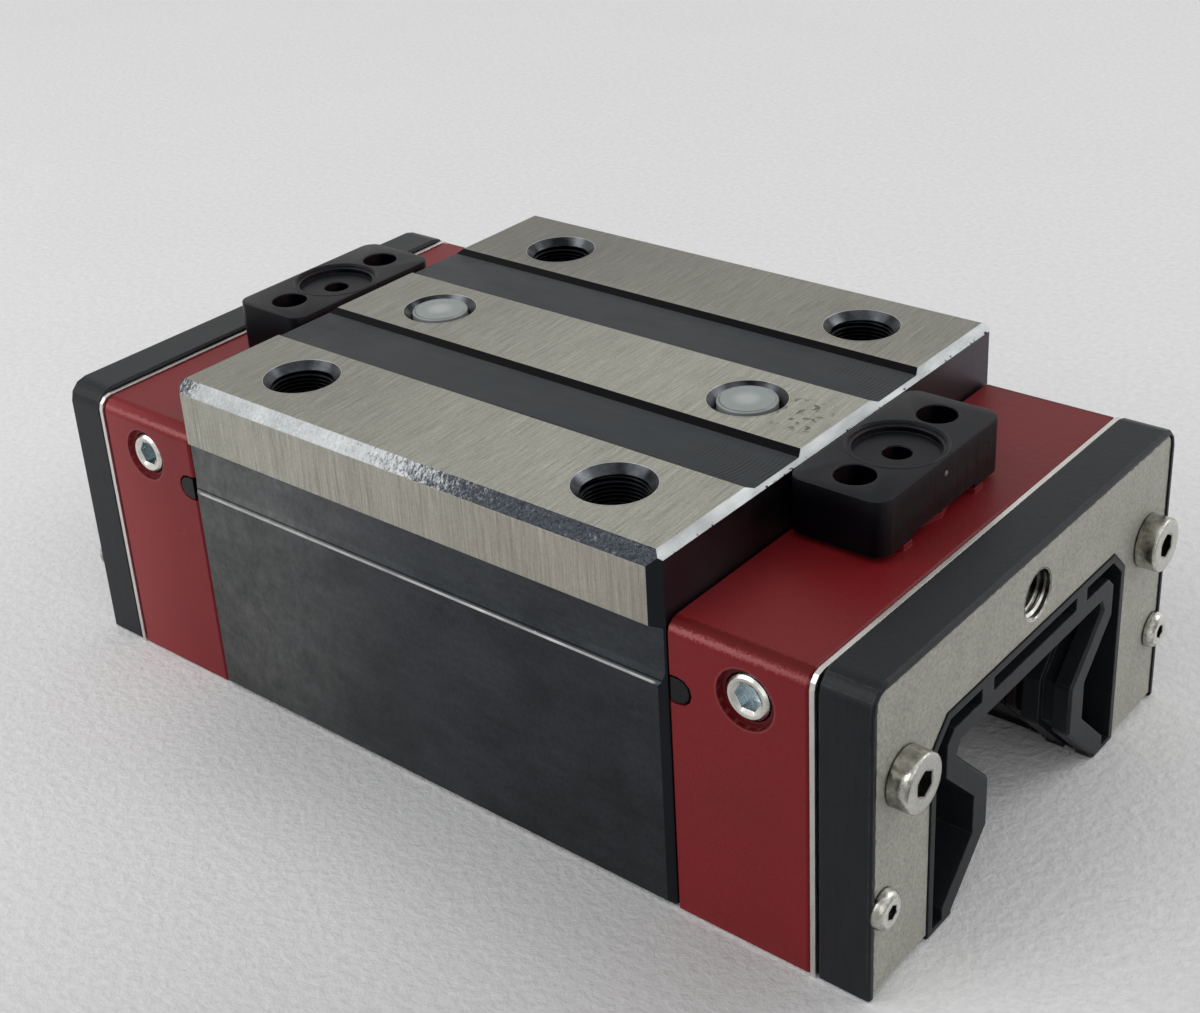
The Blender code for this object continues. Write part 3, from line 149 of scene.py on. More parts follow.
class Field:
    """A number or colour that changes over a surface. Sums and products of fields make more nodes."""

    def __init__(self, tree, source):
        self.tree = tree
        self.source = source

    def __add__(self, other):
        return self.tree.math("ADD", self, other)

    def __sub__(self, other):
        return self.tree.math("SUBTRACT", self, other)

    def __rsub__(self, other):
        return self.tree.math("SUBTRACT", other, self)

    def __mul__(self, other):
        return self.tree.math("MULTIPLY", self, other)

    def __or__(self, other):
        """The larger of two numbers."""
        return self.tree.math("MAXIMUM", self, other)

    def __abs__(self):
        return self.tree.math("ABSOLUTE", self)

    def reach(self, other):
        """The length of a step whose two sides are this number and another."""
        return self.tree.math("SQRT", self * self + other * other)

    def moved(self, limits, **settings):
        """A number moved from one range to another."""
        return self.tree.grow("ShaderNodeMapRange", "Result", {"Value": self, **limits}, **settings)

    def rise(self, low, high):
        """0 below low and 1 above high, with a smooth rise between."""
        return self.moved({"From Min": low, "From Max": high}, interpolation_type="SMOOTHSTEP")

    def fall(self, low, high):
        """1 below low and 0 above high, with a smooth fall between."""
        return 1 - self.rise(low, high)

    def band(self, low, high, edge):
        """1 between low and high, fading out over an edge on both sides."""
        return self.rise(low - edge, low) * self.fall(high, high + edge)

    def spread(self, low, high):
        """A number of 0 to 1 laid between two others."""
        return self.moved({"To Min": low, "To Max": high})

    def strong(self):
        """Noise spread over the whole range of 0 to 1."""
        return self.moved({"From Min": 0.32, "From Max": 0.68})

    def blended(self, share, other):
        """A number between this one and another."""
        return self.tree.between("FLOAT", share, self, other)

    def mixed(self, share, other):
        """A colour between this one and another."""
        return self.tree.between("RGBA", share, self, other)

    def layered(self, *layers):
        """This colour under (share, colour) layers."""
        colour = self
        for share, other in layers:
            colour = colour.mixed(share, other)
        return colour

    def varied(self, value, low, high):
        """This colour made darker and lighter by a number of 0 to 1."""
        scale = value.spread(low, high)
        return self.tree.grow("ShaderNodeVectorMath", 0, {0: self, 1: scale}, operation="MULTIPLY")


class Tree:
    """The nodes of a material or of the room, which grow one by one."""

    def __init__(self, owner):
        owner.use_nodes = True
        self.tree = owner.node_tree

    def add(self, kind, inputs=None, **settings):
        """A node with its settings, and with values or fields on its inputs."""
        node = self.tree.nodes.new(kind)
        for name, value in settings.items():
            setattr(node, name, value)
        for name, value in (inputs or {}).items():
            self.join(value, node.inputs[name])
        return node

    def grow(self, kind, output, inputs=None, **settings):
        """What a new node gives, as a field."""
        return Field(self, self.add(kind, inputs, **settings).outputs[output])

    def parts(self, kind, inputs=None):
        """All that a new node gives, by name."""
        return {socket.name: Field(self, socket) for socket in self.add(kind, inputs).outputs}

    def join(self, value, socket):
        """Link a field, or set a plain value."""
        if isinstance(value, Field):
            value = value.source
        if isinstance(value, bpy.types.NodeSocket):
            self.tree.links.new(value, socket)
        elif isinstance(value, tuple) and len(value) == 3 and socket.type == "RGBA":
            socket.default_value = (*value, 1)
        else:
            socket.default_value = value

    def tint(self, colour):
        """A plain colour to start from."""
        return Field(self, tuple(colour))

    def math(self, operation, *values):
        """A number worked out from up to three others."""
        return self.grow("ShaderNodeMath", 0, dict(enumerate(values)), operation=operation)

    def between(self, kind, share, first, second):
        """Something between two numbers, vectors or colours."""
        output = ("FLOAT", "VECTOR", "RGBA").index(kind)
        inputs = {"Factor": share, 2 * output + 2: first, 2 * output + 3: second}
        return self.grow("ShaderNodeMix", output, inputs, data_type=kind)


class Finish(Tree):
    """A material that is grown round its Principled shader."""

    def __init__(self, name, colour, roughness, metallic=0.0, edge=0.0, gloss=0.5):
        self.material = bpy.data.materials.new(name)
        super().__init__(self.material)
        self.shader = self.tree.nodes["Principled BSDF"]
        self.base = self.tint(colour)
        plain = {"Base Color": self.base, "Roughness": roughness, "Metallic": metallic, "Specular IOR Level": gloss}
        for socket, value in plain.items():
            self.join(value, self.shader.inputs[socket])
        self.rounded = self.grow("ShaderNodeBevel", 0, {"Radius": edge}) if edge else None
        if edge:
            self.join(self.rounded, self.shader.inputs["Normal"])
        self.place = self.grow("ShaderNodeTexCoord", "Object")
        self.x, self.y, self.z = self.parts("ShaderNodeSeparateXYZ", {"Vector": self.place}).values()
        self.facing = self.grow("ShaderNodeNewGeometry", "True Normal")
        facing = self.parts("ShaderNodeSeparateXYZ", {"Vector": self.facing})
        self.facing_x, self.facing_y, self.facing_z = facing.values()
        leaning = {0: self.math("MULTIPLY_ADD", self.y, LEAN, self.x), 1: self.y, 2: self.z}
        self.leaning = self.grow("ShaderNodeCombineXYZ", 0, leaning)

    def noise(self, spacing, stretch=(1, 1, 1), detail=2, roughness=0.5):
        """Soft noise whose features lie a given distance apart, stretched along each axis."""
        place = self.place if stretch == (1, 1, 1) else self.leaning
        place = self.grow("ShaderNodeMapping", 0, {"Vector": place, "Scale": tuple(1 / share for share in stretch)})
        inputs = {"Vector": place, "Scale": 1 / spacing, "Detail": detail, "Roughness": roughness}
        return self.grow("ShaderNodeTexNoise", "Fac", inputs)

    def grain(self, *pattern, **more):
        """Strong noise."""
        return self.noise(*pattern, **more).strong()

    def cells(self, spacing):
        """Scattered cells: how far a point lies from its cell's middle, and the cell's chance colour."""
        return self.parts("ShaderNodeTexVoronoi", {"Vector": self.place, "Scale": 1 / spacing})

    def specks(self, spacing, size):
        """Small round specks scattered on the surface, as 1 on a speck."""
        cells = self.cells(spacing)
        chance = self.grow("ShaderNodeSeparateColor", 0, {"Color": cells["Color"]})
        return cells["Distance"].fall(size * 0.6, size) * chance.rise(0.72, 0.74)

    def edge_line(self):
        """1 along the sharp edges, from how far the rounded shading turns from the flat face."""
        sides = {0: self.rounded, 1: self.facing}
        turn = self.grow("ShaderNodeVectorMath", "Value", sides, operation="DOT_PRODUCT")
        return (1 - turn).rise(0.004, 0.040)

    def round_corner(self, half, top, radius):
        """Even shading round an end piece's two top corners, over the frame's facets."""
        outward = (abs(self.y) - (half - radius)) | 0.0
        upward = (self.z - (top - radius)) | 0.0
        on_skin = outward.reach(upward).rise(radius * 0.93, radius * 0.94) * outward.rise(0.0, 0.00001)
        on_skin = on_skin * upward.rise(0.0, 0.00001) * abs(self.facing_x).fall(0.05, 0.1)
        heading = self.grow("ShaderNodeCombineXYZ", 0, {1: outward * self.math("SIGN", self.y), 2: upward})
        heading = self.grow("ShaderNodeVectorMath", 0, {0: heading}, operation="NORMALIZE")
        self.rounded = self.between("VECTOR", on_skin, self.rounded, heading)

    def bump(self, *layers):
        """Fine relief from (height, depth in micrometres) layers."""
        normal = self.rounded
        for height, depth in layers:
            under = {"Normal": normal} if normal else {}
            normal = self.grow("ShaderNodeBump", 0, {"Height": height, "Distance": depth * MICRON, **under})
        self.join(normal, self.shader.inputs["Normal"])

    def paint(self, colour, roughness=None):
        """Give the surface its colour, and its roughness where that changes."""
        self.join(colour, self.shader.inputs["Base Color"])
        if roughness:
            self.join(roughness, self.shader.inputs["Roughness"])
        return self.material

    def simple(self, pattern, depth, shades, roughness):
        """One pattern as relief, shade and roughness."""
        self.bump((pattern, depth))
        return self.paint(self.base.varied(pattern, *shades), pattern.spread(*roughness))


def nodes_named(*endings):
    """The frame's nodes whose names end in any of the given words."""
    found = [item for name, item in sorted(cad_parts.items()) if name.endswith(endings)]
    if not found:
        raise RuntimeError(f"the frame has no node that ends in {endings}")
    return found


def cover(items, material):
    """Give each item one material."""
    for item in items:
        item.data.materials.clear()
        item.data.materials.append(material)


def placed(name, data):
    """A new object in the scene."""
    item = bpy.data.objects.new(name, data)
    bpy.context.scene.collection.objects.link(item)
    return item


def mesh_of(name, work):
    """A mesh from a bmesh, with its faces turned outwards."""
    mesh = bpy.data.meshes.new(name)
    bmesh.ops.recalc_face_normals(work, faces=work.faces)
    work.to_mesh(mesh)
    work.free()
    return mesh


def new_piece(name, work, material, matrix, sharp_angle=40):
    """A new piece of the carriage from a bmesh, shaded smooth between sharp edges."""
    mesh = mesh_of(name, work)
    mesh.transform(matrix)
    mesh.shade_smooth()
    mesh.set_sharp_from_angle(angle=math.radians(sharp_angle))
    mesh.materials.append(material)
    piece = placed(name, mesh)
    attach(piece, "carriage")
    return piece


ROUND_STEPS = 96
SOCKET_STEPS = 72


def turned(profile, steps=ROUND_STEPS):
    """A closed body turned round Z from (radius, height) points: from axis to axis, or a ring.

    A point with a third value has a hexagon's corners at its radius.
    """
    work = bmesh.new()
    sixth = math.pi / 3
    rings = []
    for radius, height, *hexagon in profile:
        count = steps if radius else 1
        ring = []
        for index in range(count):
            angle = 2 * math.pi * index / steps
            reach = radius
            if hexagon:
                reach *= math.cos(sixth / 2) / math.cos(angle % sixth - sixth / 2)
            ring.append(work.verts.new((reach * math.cos(angle), reach * math.sin(angle), height)))
        rings.append(ring)
    pairs = list(zip(rings, rings[1:]))
    if profile[0][0]:
        pairs.append((rings[-1], rings[0]))
    for one, two in pairs:
        for index in range(steps):
            follow = index + 1
            steps_round = ((one, index), (one, follow), (two, follow), (two, index))
            corners = [ring[step % len(ring)] for ring, step in steps_round]
            work.faces.new(dict.fromkeys(corners))
    return work


def thread_ridge(root_radius, depth, pitch, start, end, steps):
    """A screw thread's ridge that winds along a hole's Z, from its wall inwards, closed at both ends."""
    work = bmesh.new()
    half_foot, half_crest = pitch * 0.40, pitch * 0.07
    turns = (end - start - 2 * half_foot) / pitch
    count = max(3, round(turns * steps))
    rings = []
    for index in range(count + 1):
        share = index / count
        angle = 2 * math.pi * turns * share
        height = start + half_foot + (end - start - 2 * half_foot) * share
        taper = min(1, share * turns * 2, (1 - share) * turns * 2)
        crest = root_radius - depth * taper
        section = (
            (root_radius, -half_foot), (crest, -half_crest), (crest, half_crest), (root_radius, half_foot)
        )
        ring = []
        for radius, offset in section:
            ring.append(work.verts.new((radius * math.cos(angle), radius * math.sin(angle), height + offset)))
        rings.append(ring)
    for one, two in zip(rings, rings[1:]):
        for corner in range(4):
            follow = (corner + 1) % 4
            work.faces.new((one[corner], one[follow], two[follow], two[corner]))
    work.faces.new(rings[0])
    work.faces.new(rings[-1])
    return work


FACET_INSET = 0.978
FACET_COVER = 1.015
LIP_RISE = 0.00001


def hole_lining(mouth, bore, cone_depth, depth):
    """A thin round ring down a hole from its mouth at height 0, in front of the frame's facets."""
    inner = bore * FACET_INSET
    outer = bore * FACET_COVER
    lip = mouth * FACET_COVER
    return turned([
        (mouth * FACET_INSET, LIP_RISE), (inner, -cone_depth), (inner, -depth), (outer, -depth),
        (outer, -cone_depth), (lip, -2 * LIP_RISE), (lip, LIP_RISE),
    ])


def carve(work, tools):
    """A closed shape with closed tool shapes taken out of it, all as bmeshes."""
    block, *cutters = [placed("loose", mesh_of("loose", shape)) for shape in (work, *tools)]
    for cutter in cutters:
        cut = block.modifiers.new("cut", "BOOLEAN")
        cut.operation = "DIFFERENCE"
        cut.solver = "EXACT"
        cut.object = cutter
    bpy.context.view_layer.update()
    whole = block.evaluated_get(bpy.context.evaluated_depsgraph_get())
    result = bmesh.new()
    result.from_mesh(whole.to_mesh())
    whole.to_mesh_clear()
    for item in [block, *cutters]:
        mesh = item.data
        bpy.data.objects.remove(item)
        bpy.data.meshes.remove(mesh)
    return result


def two_ends():
    """Each end's word and the turn that takes the front end there."""
    return ("front", Matrix.Identity(4)), ("rear", HALF_TURN)


def four_corners():
    """Each corner's words, the turn that takes the front end there, and its side before that turn."""
    for end_word, turn in two_ends():
        for side_word, side in (("left", 1), ("right", -1)):
            yield f"{end_word}_{side_word}", turn, side if end_word == "front" else -side


def hole_distance(finish):
    """How far a point lies from the axis of the nearest mounting hole."""
    across = abs(finish.y)
    nearest = finish.math("MINIMUM", across, abs(across - HOLE_Y))
    return (abs(finish.x) - HOLE_X).reach(nearest)


def in_opening(finish):
    """1 on the walls of the opening for the rail."""
    inside = abs(finish.y).fall(OPENING_HALF, OPENING_HALF + 0.0007)
    return inside * finish.z.fall(OPENING_TOP, OPENING_TOP + 0.0005)


HAIR = 0.0001
FLAT = (0.955, 0.98)
UPRIGHT = (0.9, 0.95)
SLANTED = (0.6, 0.65)
CORNERED = (0.4, 0.5)
GROOVE_DEPTH = 0.0008
MILL_MIDDLE = (0.0200, 0.01255)
MILL_PITCH = 0.00056


def block_steel():
    """The hardened body: ground bands with fine grinding lines, bright chamfers and dark hardened faces."""
    steel = bpy.context.scene.carriage_steel
    finish = Finish("block_steel", steel.dark_colour, 0.4, 1.0, 0.00012)
    x, z, up = finish.x, finish.z, finish.facing_z
    along, across = abs(x), abs(finish.y)
    end_facing, side_facing = abs(finish.facing_x), abs(finish.facing_y)
    top, side = BODY_HIGH.z, BODY_HIGH.y
    hole = hole_distance(finish)
    top_ground = up.rise(*FLAT) * z.rise(top - 2 * HAIR, top - HAIR)
    side_ground = side_facing.rise(*UPRIGHT) * across.rise(side - 2 * HAIR, side - HAIR)
    ground = top_ground | side_ground
    slope = up.band(0.5, 0.8, 0.05) * z.rise(top - 0.0022, top - 0.0020)
    slope = slope * hole.rise(SINK_RADIUS + 2 * HAIR, SINK_RADIUS + 3 * HAIR)
    corner_cut = end_facing.rise(*CORNERED) * side_facing.rise(*CORNERED)

    # Ground faces; painted shade darkens the top towards the rear and over its far band
    lines = finish.grain(steel.line_spacing, (1, 32, 32), 4, 0.8)
    bands = finish.grain(0.00050, (1, 12, 12), 3, 0.7)
    fine = finish.grain(0.00030, detail=4, roughness=0.75)
    warm = side_ground * x.rise(-0.03, 0.03).spread(0.05, 0.26)
    ground_colour = (
        finish.tint(steel.ground_colour).varied(lines, 0.66, 1.30).varied(bands, 0.94, 1.06).varied(fine, 0.87, 1.13)
        .mixed(warm, shade(176, 162, 150)).varied(finish.noise(0.014, (1, 1.5, 1.5)), 0.90, 1.10)
        .varied(x.rise(-0.030, 0.015) | (1 - top_ground), 0.74, 1.0).varied(finish.y.rise(0.014, 0.020), 1.0, 0.70)
    )

    # Chamfers: bright at the ends, and going from bright at the rear to dark towards the front along the sides
    grain = finish.grain(0.00034, detail=5, roughness=0.75)
    scratches = finish.grain(0.00034, (1, 1.7, 1.7), 5, 0.8)
    rubs = finish.grain(0.0030, (1, 2.5, 1), 3)
    bright = finish.tint(steel.chamfer_colour)
    burrs = finish.noise(0.0009, detail=3).rise(0.60, 0.66) * z.fall(top - 9 * HAIR, top - 7 * HAIR)
    end_colour = bright.varied(grain, 0.76, 1.12).varied(rubs, 0.66, 1.16).mixed(burrs, shade(30, 30, 32))
    fade = x.rise(-0.022, 0.024).spread(-0.60, 0.76)
    tips = x.rise(-0.0372, -0.0310).spread(1.0, 0.0)
    bright_share = (scratches - fade - tips).rise(-0.05, 0.62)
    pores = finish.grain(0.00030, detail=4, roughness=0.8)
    side_colour = bright.varied(grain, 0.74, 1.12).varied(scratches, 0.74, 1.12).varied(rubs, 0.86, 1.10)
    side_colour = finish.tint(shade(50, 53, 58)).varied(pores, 0.25, 1.9).mixed(bright_share, side_colour)

    # Dark faces, paler towards the rear and darker towards the front
    smudge = finish.grain(0.010, (1, 1, 0.7), 5, 0.6)
    scuffs = finish.grain(0.0011, (6, 1, 1), 4, 0.6)
    patchy = finish.grain(0.0046, (1.3, 1, 1), 6, 0.62)
    pocks = finish.grain(0.00055, detail=4, roughness=0.7)
    marks = finish.grain(0.0013, (1, 1, 1.8), 6, 0.78)
    towards_rear = x.fall(-0.030, 0.004)
    above_ledge = z.rise(LEDGE_HEIGHT + 5 * HAIR, LEDGE_HEIGHT + 6 * HAIR)
    shadow_line = z.band(LEDGE_HEIGHT + 4 * HAIR, LEDGE_HEIGHT + 5.5 * HAIR, 0.5 * HAIR)
    dark_colour = (
        finish.base.mixed(towards_rear, shade(82, 84, 85)).varied(smudge, 0.76, 1.22).varied(scuffs, 0.93, 1.07)
        .varied(pocks, 0.86, 1.14).mixed(towards_rear * patchy * 0.34, shade(116, 115, 113))
        .varied(x.rise(0.000, 0.030), 1.0, 0.84).varied(finish.between("FLOAT", towards_rear, 0.5, marks), 0.74, 1.26)
        .mixed(finish.specks(0.0042, 0.020) * 0.5, shade(150, 150, 148))
        .varied(above_ledge, 1.0, 1.25).mixed(shadow_line * 0.6, shade(22, 23, 25))
    )
    # A pale line along the ledge's edge: partly bare steel where the edge is ground through, partly a painted
    # highlight.
    ledge_wear_and_highlight = z.band(LEDGE_HEIGHT - 0.3 * HAIR, LEDGE_HEIGHT + 1.7 * HAIR, 0.3 * HAIR) * across.rise(0.0341, 0.0342)
    ledge_wear_and_highlight = ledge_wear_and_highlight * finish.grain(0.0012, (3, 1, 1), 3).spread(0.35, 0.85) * along.fall(0.0366, 0.0372)

    # Top grooves with round milling marks near their ends
    groove = up.rise(*FLAT) * z.band(top - GROOVE_DEPTH, top - 2 * HAIR, HAIR)
    turns = (along - MILL_MIDDLE[0]).reach(across - MILL_MIDDLE[1]) * (2 * math.pi / MILL_PITCH)
    mill_marks = finish.math("SINE", turns)
    broken = finish.noise(0.0016, (1, 2, 1), 3).rise(0.40, 0.60)
    mill_share = groove * along.rise(0.0245, 0.0300) * broken
    groove_colour = finish.tint(shade(57, 61, 65)).varied(smudge, 0.88, 1.12).varied(scuffs, 0.90, 1.10)
    groove_colour = groove_colour.mixed(mill_share * mill_marks.rise(0.2, 0.9) * 0.5, shade(38, 40, 42))
    # The groove walls are painted near black: painted shade.
    wall = up.band(0.86, 0.94, 0.01) * z.rise(top - GROOVE_DEPTH - 2 * HAIR, top - GROOVE_DEPTH)

    # Countersinks and bores, painted near black as painted shade
    in_hole = hole.fall(SINK_RADIUS * 0.972, SINK_RADIUS * 0.982)
    cone = z.rise(top - SINK_DEPTH - 2 * HAIR, top - SINK_DEPTH + HAIR)
    patches = finish.grain(0.0034)
    cone_colour = finish.tint(shade(34, 36, 39)).mixed(patches, shade(90, 93, 97)).varied(grain, 0.8, 1.15)
    # A pale ring round each hole's rim: a painted highlight.
    rim = hole.band(SINK_RADIUS * 0.974, SINK_RADIUS * 0.986, 0.2 * HAIR)
    rim = rim * z.rise(top - HAIR, top - HAIR / 2)

    pits = gouges(finish) * pitted_area(finish) * top_ground
    colour = dark_colour.layered(
        # The end faces' plum tint is a painted reflection of the red caps.
        (end_facing.rise(*UPRIGHT) * 0.9, shade(74, 64, 70)),
        (groove, groove_colour),
        (wall, shade(20, 20, 22)),
        (ground, ground_colour),
        (slope * end_facing.rise(*SLANTED), end_colour),
        (slope * side_facing.rise(*SLANTED), side_colour),
        (corner_cut, shade(44, 46, 50)),
        (in_hole, finish.tint(steel.bore_shade_colour).mixed(cone, cone_colour)),
        (rim * 0.7, shade(200, 200, 196)),
        (ledge_wear_and_highlight, shade(150, 150, 148)),
        (pits * 0.7, shade(66, 60, 46)),
    )
    rough = smudge.spread(0.34, 0.48).blended(ground, lines.spread(0.30, 0.44))
    rough = rough.blended(slope, grain.spread(0.36, 0.50)).blended(in_hole, 0.26)
    relief = finish.noise(0.0004, detail=3)
    milling = mill_marks * mill_share
    finish.bump((lines * ground, 12), (relief, 8), (milling, 10), (pits, -90))
    return finish.paint(colour, rough)


def gouges(finish):
    """Short curved dents, as 1 where a dent is."""
    wander = (finish.noise(0.0007) - 0.5) * 0.5
    open_side = finish.noise(0.0011, (1, 1.6, 1), 1).rise(0.44, 0.54)
    return (finish.cells(0.0017)["Distance"] + wander).band(0.20, 0.39, 0.12) * open_side


def pitted_area(finish):
    """The corner of the centre band, beside the front plug, whose face is pitted."""
    along = finish.x.band(HOLE_X + 0.0054, BODY_HIGH.x - 0.0030, 0.0012)
    return along * finish.y.band(-0.0030, 0.0026, 0.0016)


def red_moulding():
    """Satin red plastic with a fine grain. Painted highlights run along its top edges and round the port recesses;
    painted shade lies in the recesses, over the front caps' tops and rounding, and in the opening; the rear caps'
    sides get painted light.
    """
    finish = Finish("red_moulding", bpy.context.scene.carriage_plastic.red_colour, 0.42, 0.0, 0.00020, 0.22)
    finish.round_corner(CAP_HIGH.y, CAP_TOP, CAP_EDGE)
    x, z, across = finish.x, finish.z, abs(finish.y)
    cloud = finish.noise(0.012, detail=3)
    grain = finish.grain(0.00016)
    outward = (across - (CAP_HIGH.y - CAP_EDGE)) * (1 / CAP_EDGE)
    upward = (z - (CAP_TOP - CAP_EDGE)) * (1 / CAP_EDGE)
    rounding = outward.rise(-0.05, 0.10) * upward.rise(-0.05, 0.10)
    turn = upward - outward + (finish.noise(0.00026, detail=4, roughness=0.8) - 0.5) * 1.3
    # A painted highlight runs along the rounding of the top edges, with painted shade over its upper part on the
    # front caps.
    edge_highlight = rounding * turn.band(-0.44, -0.34, 0.30) * x.rise(0.040, 0.062).spread(1.0, 0.6)
    shaded = rounding * turn.band(0.10, 0.85, 0.15) * x.rise(-0.04, 0.04)
    port = (abs(x) - (PORT_LOW.x + PORT_HIGH.x) / 2).reach(z - (PORT_LOW.z + PORT_HIGH.z) / 2)
    side = across.rise(CAP_HIGH.y - 0.0012, CAP_HIGH.y - 0.0010)
    # The front caps' tops are painted a little darker: painted shade.
    front_top_shade = finish.facing_z.rise(0.8, 0.95) * x.rise(0.0, 0.01)
    colour = finish.base.varied(cloud, 0.88, 1.12).varied(grain, 0.93, 1.07)
    # Painted shade in each port's recess and a painted highlight round it, the edges' painted highlight and shade,
    # and painted light on the rear caps' sides.
    colour = colour.layered(
        (side * port.fall(PORT_RECESS, PORT_RECESS + 0.0001) * 0.75, shade(70, 4, 8)),
        (side * port.band(PORT_RECESS, PORT_RECESS + 0.00016, 0.00006) * 0.25, shade(164, 84, 86)),
        (edge_highlight * 0.44, shade(190, 124, 124)),
        (shaded, shade(90, 0, 3)),
        (x.fall(-0.062, -0.040) * side * 0.45, shade(156, 66, 68)),
    )
    # The walls of the opening are painted dark: painted shade.
    opening_shade = (in_opening(finish), shade(20, 8, 11))
    dust = (finish.specks(0.0030, 0.035) * 0.5, shade(190, 150, 150))
    colour = colour.varied(front_top_shade, 1.0, 0.86).layered(opening_shade, dust)
    finish.bump((grain, 10), (finish.noise(0.0009), 20))
    return finish.paint(colour, cloud.spread(0.36, 0.46) + rounding * 0.2)


def black_moulding():
    """Satin black plastic with faint flow marks and a few specks of dust, a painted highlight along its edges, and
    painted shade inside the caps.
    """
    finish = Finish("black_moulding", bpy.context.scene.carriage_plastic.black_colour, 0.4, 0.0, 0.00022, 0.2)
    edge = finish.edge_line()
    finish.round_corner(FRAME_HIGH.y, FRAME_HIGH.z, FRAME_CORNER)
    cloud = finish.noise(0.007, (1, 2, 1), 3)
    grain = finish.grain(0.00020)
    flow = finish.grain(0.0006, (1, 1, 12), 4, 0.6)
    # Pieces inside the caps are painted darker: painted shade.
    inside = abs(finish.x).fall(CAP_HIGH.x - 0.0012, CAP_HIGH.x - 0.0002)
    # A paler line along the edges outside the caps: a painted highlight.
    edge_highlight = edge * finish.grain(0.0012, detail=4) * (1 - inside)
    colour = finish.base.varied(cloud, 0.75, 1.25).varied(grain, 0.9, 1.1).varied(flow, 0.86, 1.14)
    colour = colour.layered(
        (inside * 0.7, shade(8, 8, 13)),
        (edge_highlight * 0.5, shade(84, 85, 88)),
        (finish.specks(0.0026, 0.030) * 0.45, shade(140, 132, 130)),
    )
    finish.bump((grain, 10), (finish.noise(0.0012), 15), (flow, 6))
    return finish.paint(colour, cloud.spread(0.32, 0.44))


def adapter_plastic():
    """Glossier black plastic, its front faintly streaked and brownish, its sides near black as painted shade, and a
    painted highlight along its edges.
    """
    finish = Finish("adapter_plastic", bpy.context.scene.carriage_plastic.black_colour, 0.3, 0.0, 0.00008, 0.12)
    cloud = finish.noise(0.005, detail=3)
    grain = finish.grain(0.00018)
    streaks = finish.grain(0.00045, (1, 1, 20), 4, 0.6)
    front = abs(finish.facing_x).rise(0.7, 0.95)
    # The sides are painted near black: painted shade.
    side = abs(finish.facing_y).rise(0.5, 0.9)
    front_colour = finish.tint(shade(27, 18, 20)).varied(streaks, 0.6, 1.4)
    colour = finish.tint(shade(17, 18, 22)).layered((side, shade(1, 1, 5)), (front, front_colour))
    colour = colour.varied(cloud, 0.8, 1.2).varied(grain, 0.92, 1.08)
    # A paler line along the edges: a painted highlight.
    colour = colour.mixed(finish.edge_line() * 0.55, shade(74, 75, 79))
    finish.bump((grain, 6), (finish.noise(0.0014), 12), (streaks * front, 8))
    return finish.paint(colour, cloud.spread(0.24, 0.36))


def torn_plastic():
    """The paler plastic where a moulding was broken off its gate."""
    finish = Finish("torn_plastic", shade(104, 100, 97), 0.5)
    return finish.simple(finish.grain(0.00015, detail=3), 20, (0.4, 1.6), (0.4, 0.6))


def seal_rubber():
    """Dull black rubber."""
    finish = Finish("seal_rubber", bpy.context.scene.carriage_plastic.rubber_colour, 0.6, 0.0, 0.0002, 0.3)
    return finish.simple(finish.noise(0.0003, detail=3), 10, (0.8, 1.2), (0.52, 0.68))


def milky_plastic():
    """The translucent plastic of the hole plugs."""
    finish = Finish("milky_plastic", bpy.context.scene.carriage_plastic.plug_colour, 0.3)
    finish.shader.inputs["Subsurface Weight"].default_value = 0.35
    finish.shader.inputs["Subsurface Radius"].default_value = (0.0015, 0.0016, 0.0017)
    cloud = finish.noise(0.0022, detail=3)
    middle = hole_distance(finish)
    nub = middle.fall(0.0006, 0.0022)
    # The groove is painted dark on the plug's near side only: painted shade.
    groove = middle.band(PLUG_GROOVE_INNER, PLUG_GROOVE_OUTER, 0.00003) * finish.y.fall(-0.0016, -0.0004)
    colour = finish.base.varied(cloud, 0.92, 1.08)
    colour = colour.layered((nub * 0.5, shade(178, 183, 181)), (groove * 0.75, shade(60, 64, 66)))
    finish.bump((finish.noise(0.0005), 10), (nub, 100))
    return finish.paint(colour, cloud.spread(0.24, 0.36))


def plate_steel():
    """Grey wiper plate: a fine matt grain, darker where the punched edge is ragged."""
    finish = Finish("plate_steel", bpy.context.scene.carriage_end.plate_colour, 0.55, 0.55, 0.00010)
    grain = finish.grain(0.00042, detail=4, roughness=0.75)
    cloud = finish.noise(0.005, detail=3)
    stains = finish.grain(0.0032, detail=5, roughness=0.7)
    wander = (finish.noise(0.0010, detail=4) - 0.5) * 0.0007
    outer = (abs(finish.y) + wander).rise(PLATE_HIGH.y - 0.00030, PLATE_HIGH.y - 0.00014)
    upper = (finish.z + wander).rise(PLATE_HIGH.z - 0.00030, PLATE_HIGH.z - 0.00014)
    colour = finish.base.varied(grain, 0.70, 1.28).varied(cloud, 0.93, 1.07)
    colour = colour.mixed((outer | upper) * 0.7, shade(66, 66, 66)).varied(stains, 0.94, 1.04)
    finish.bump((grain, 16), (cloud, 20))
    return finish.paint(colour, grain.spread(0.48, 0.66))


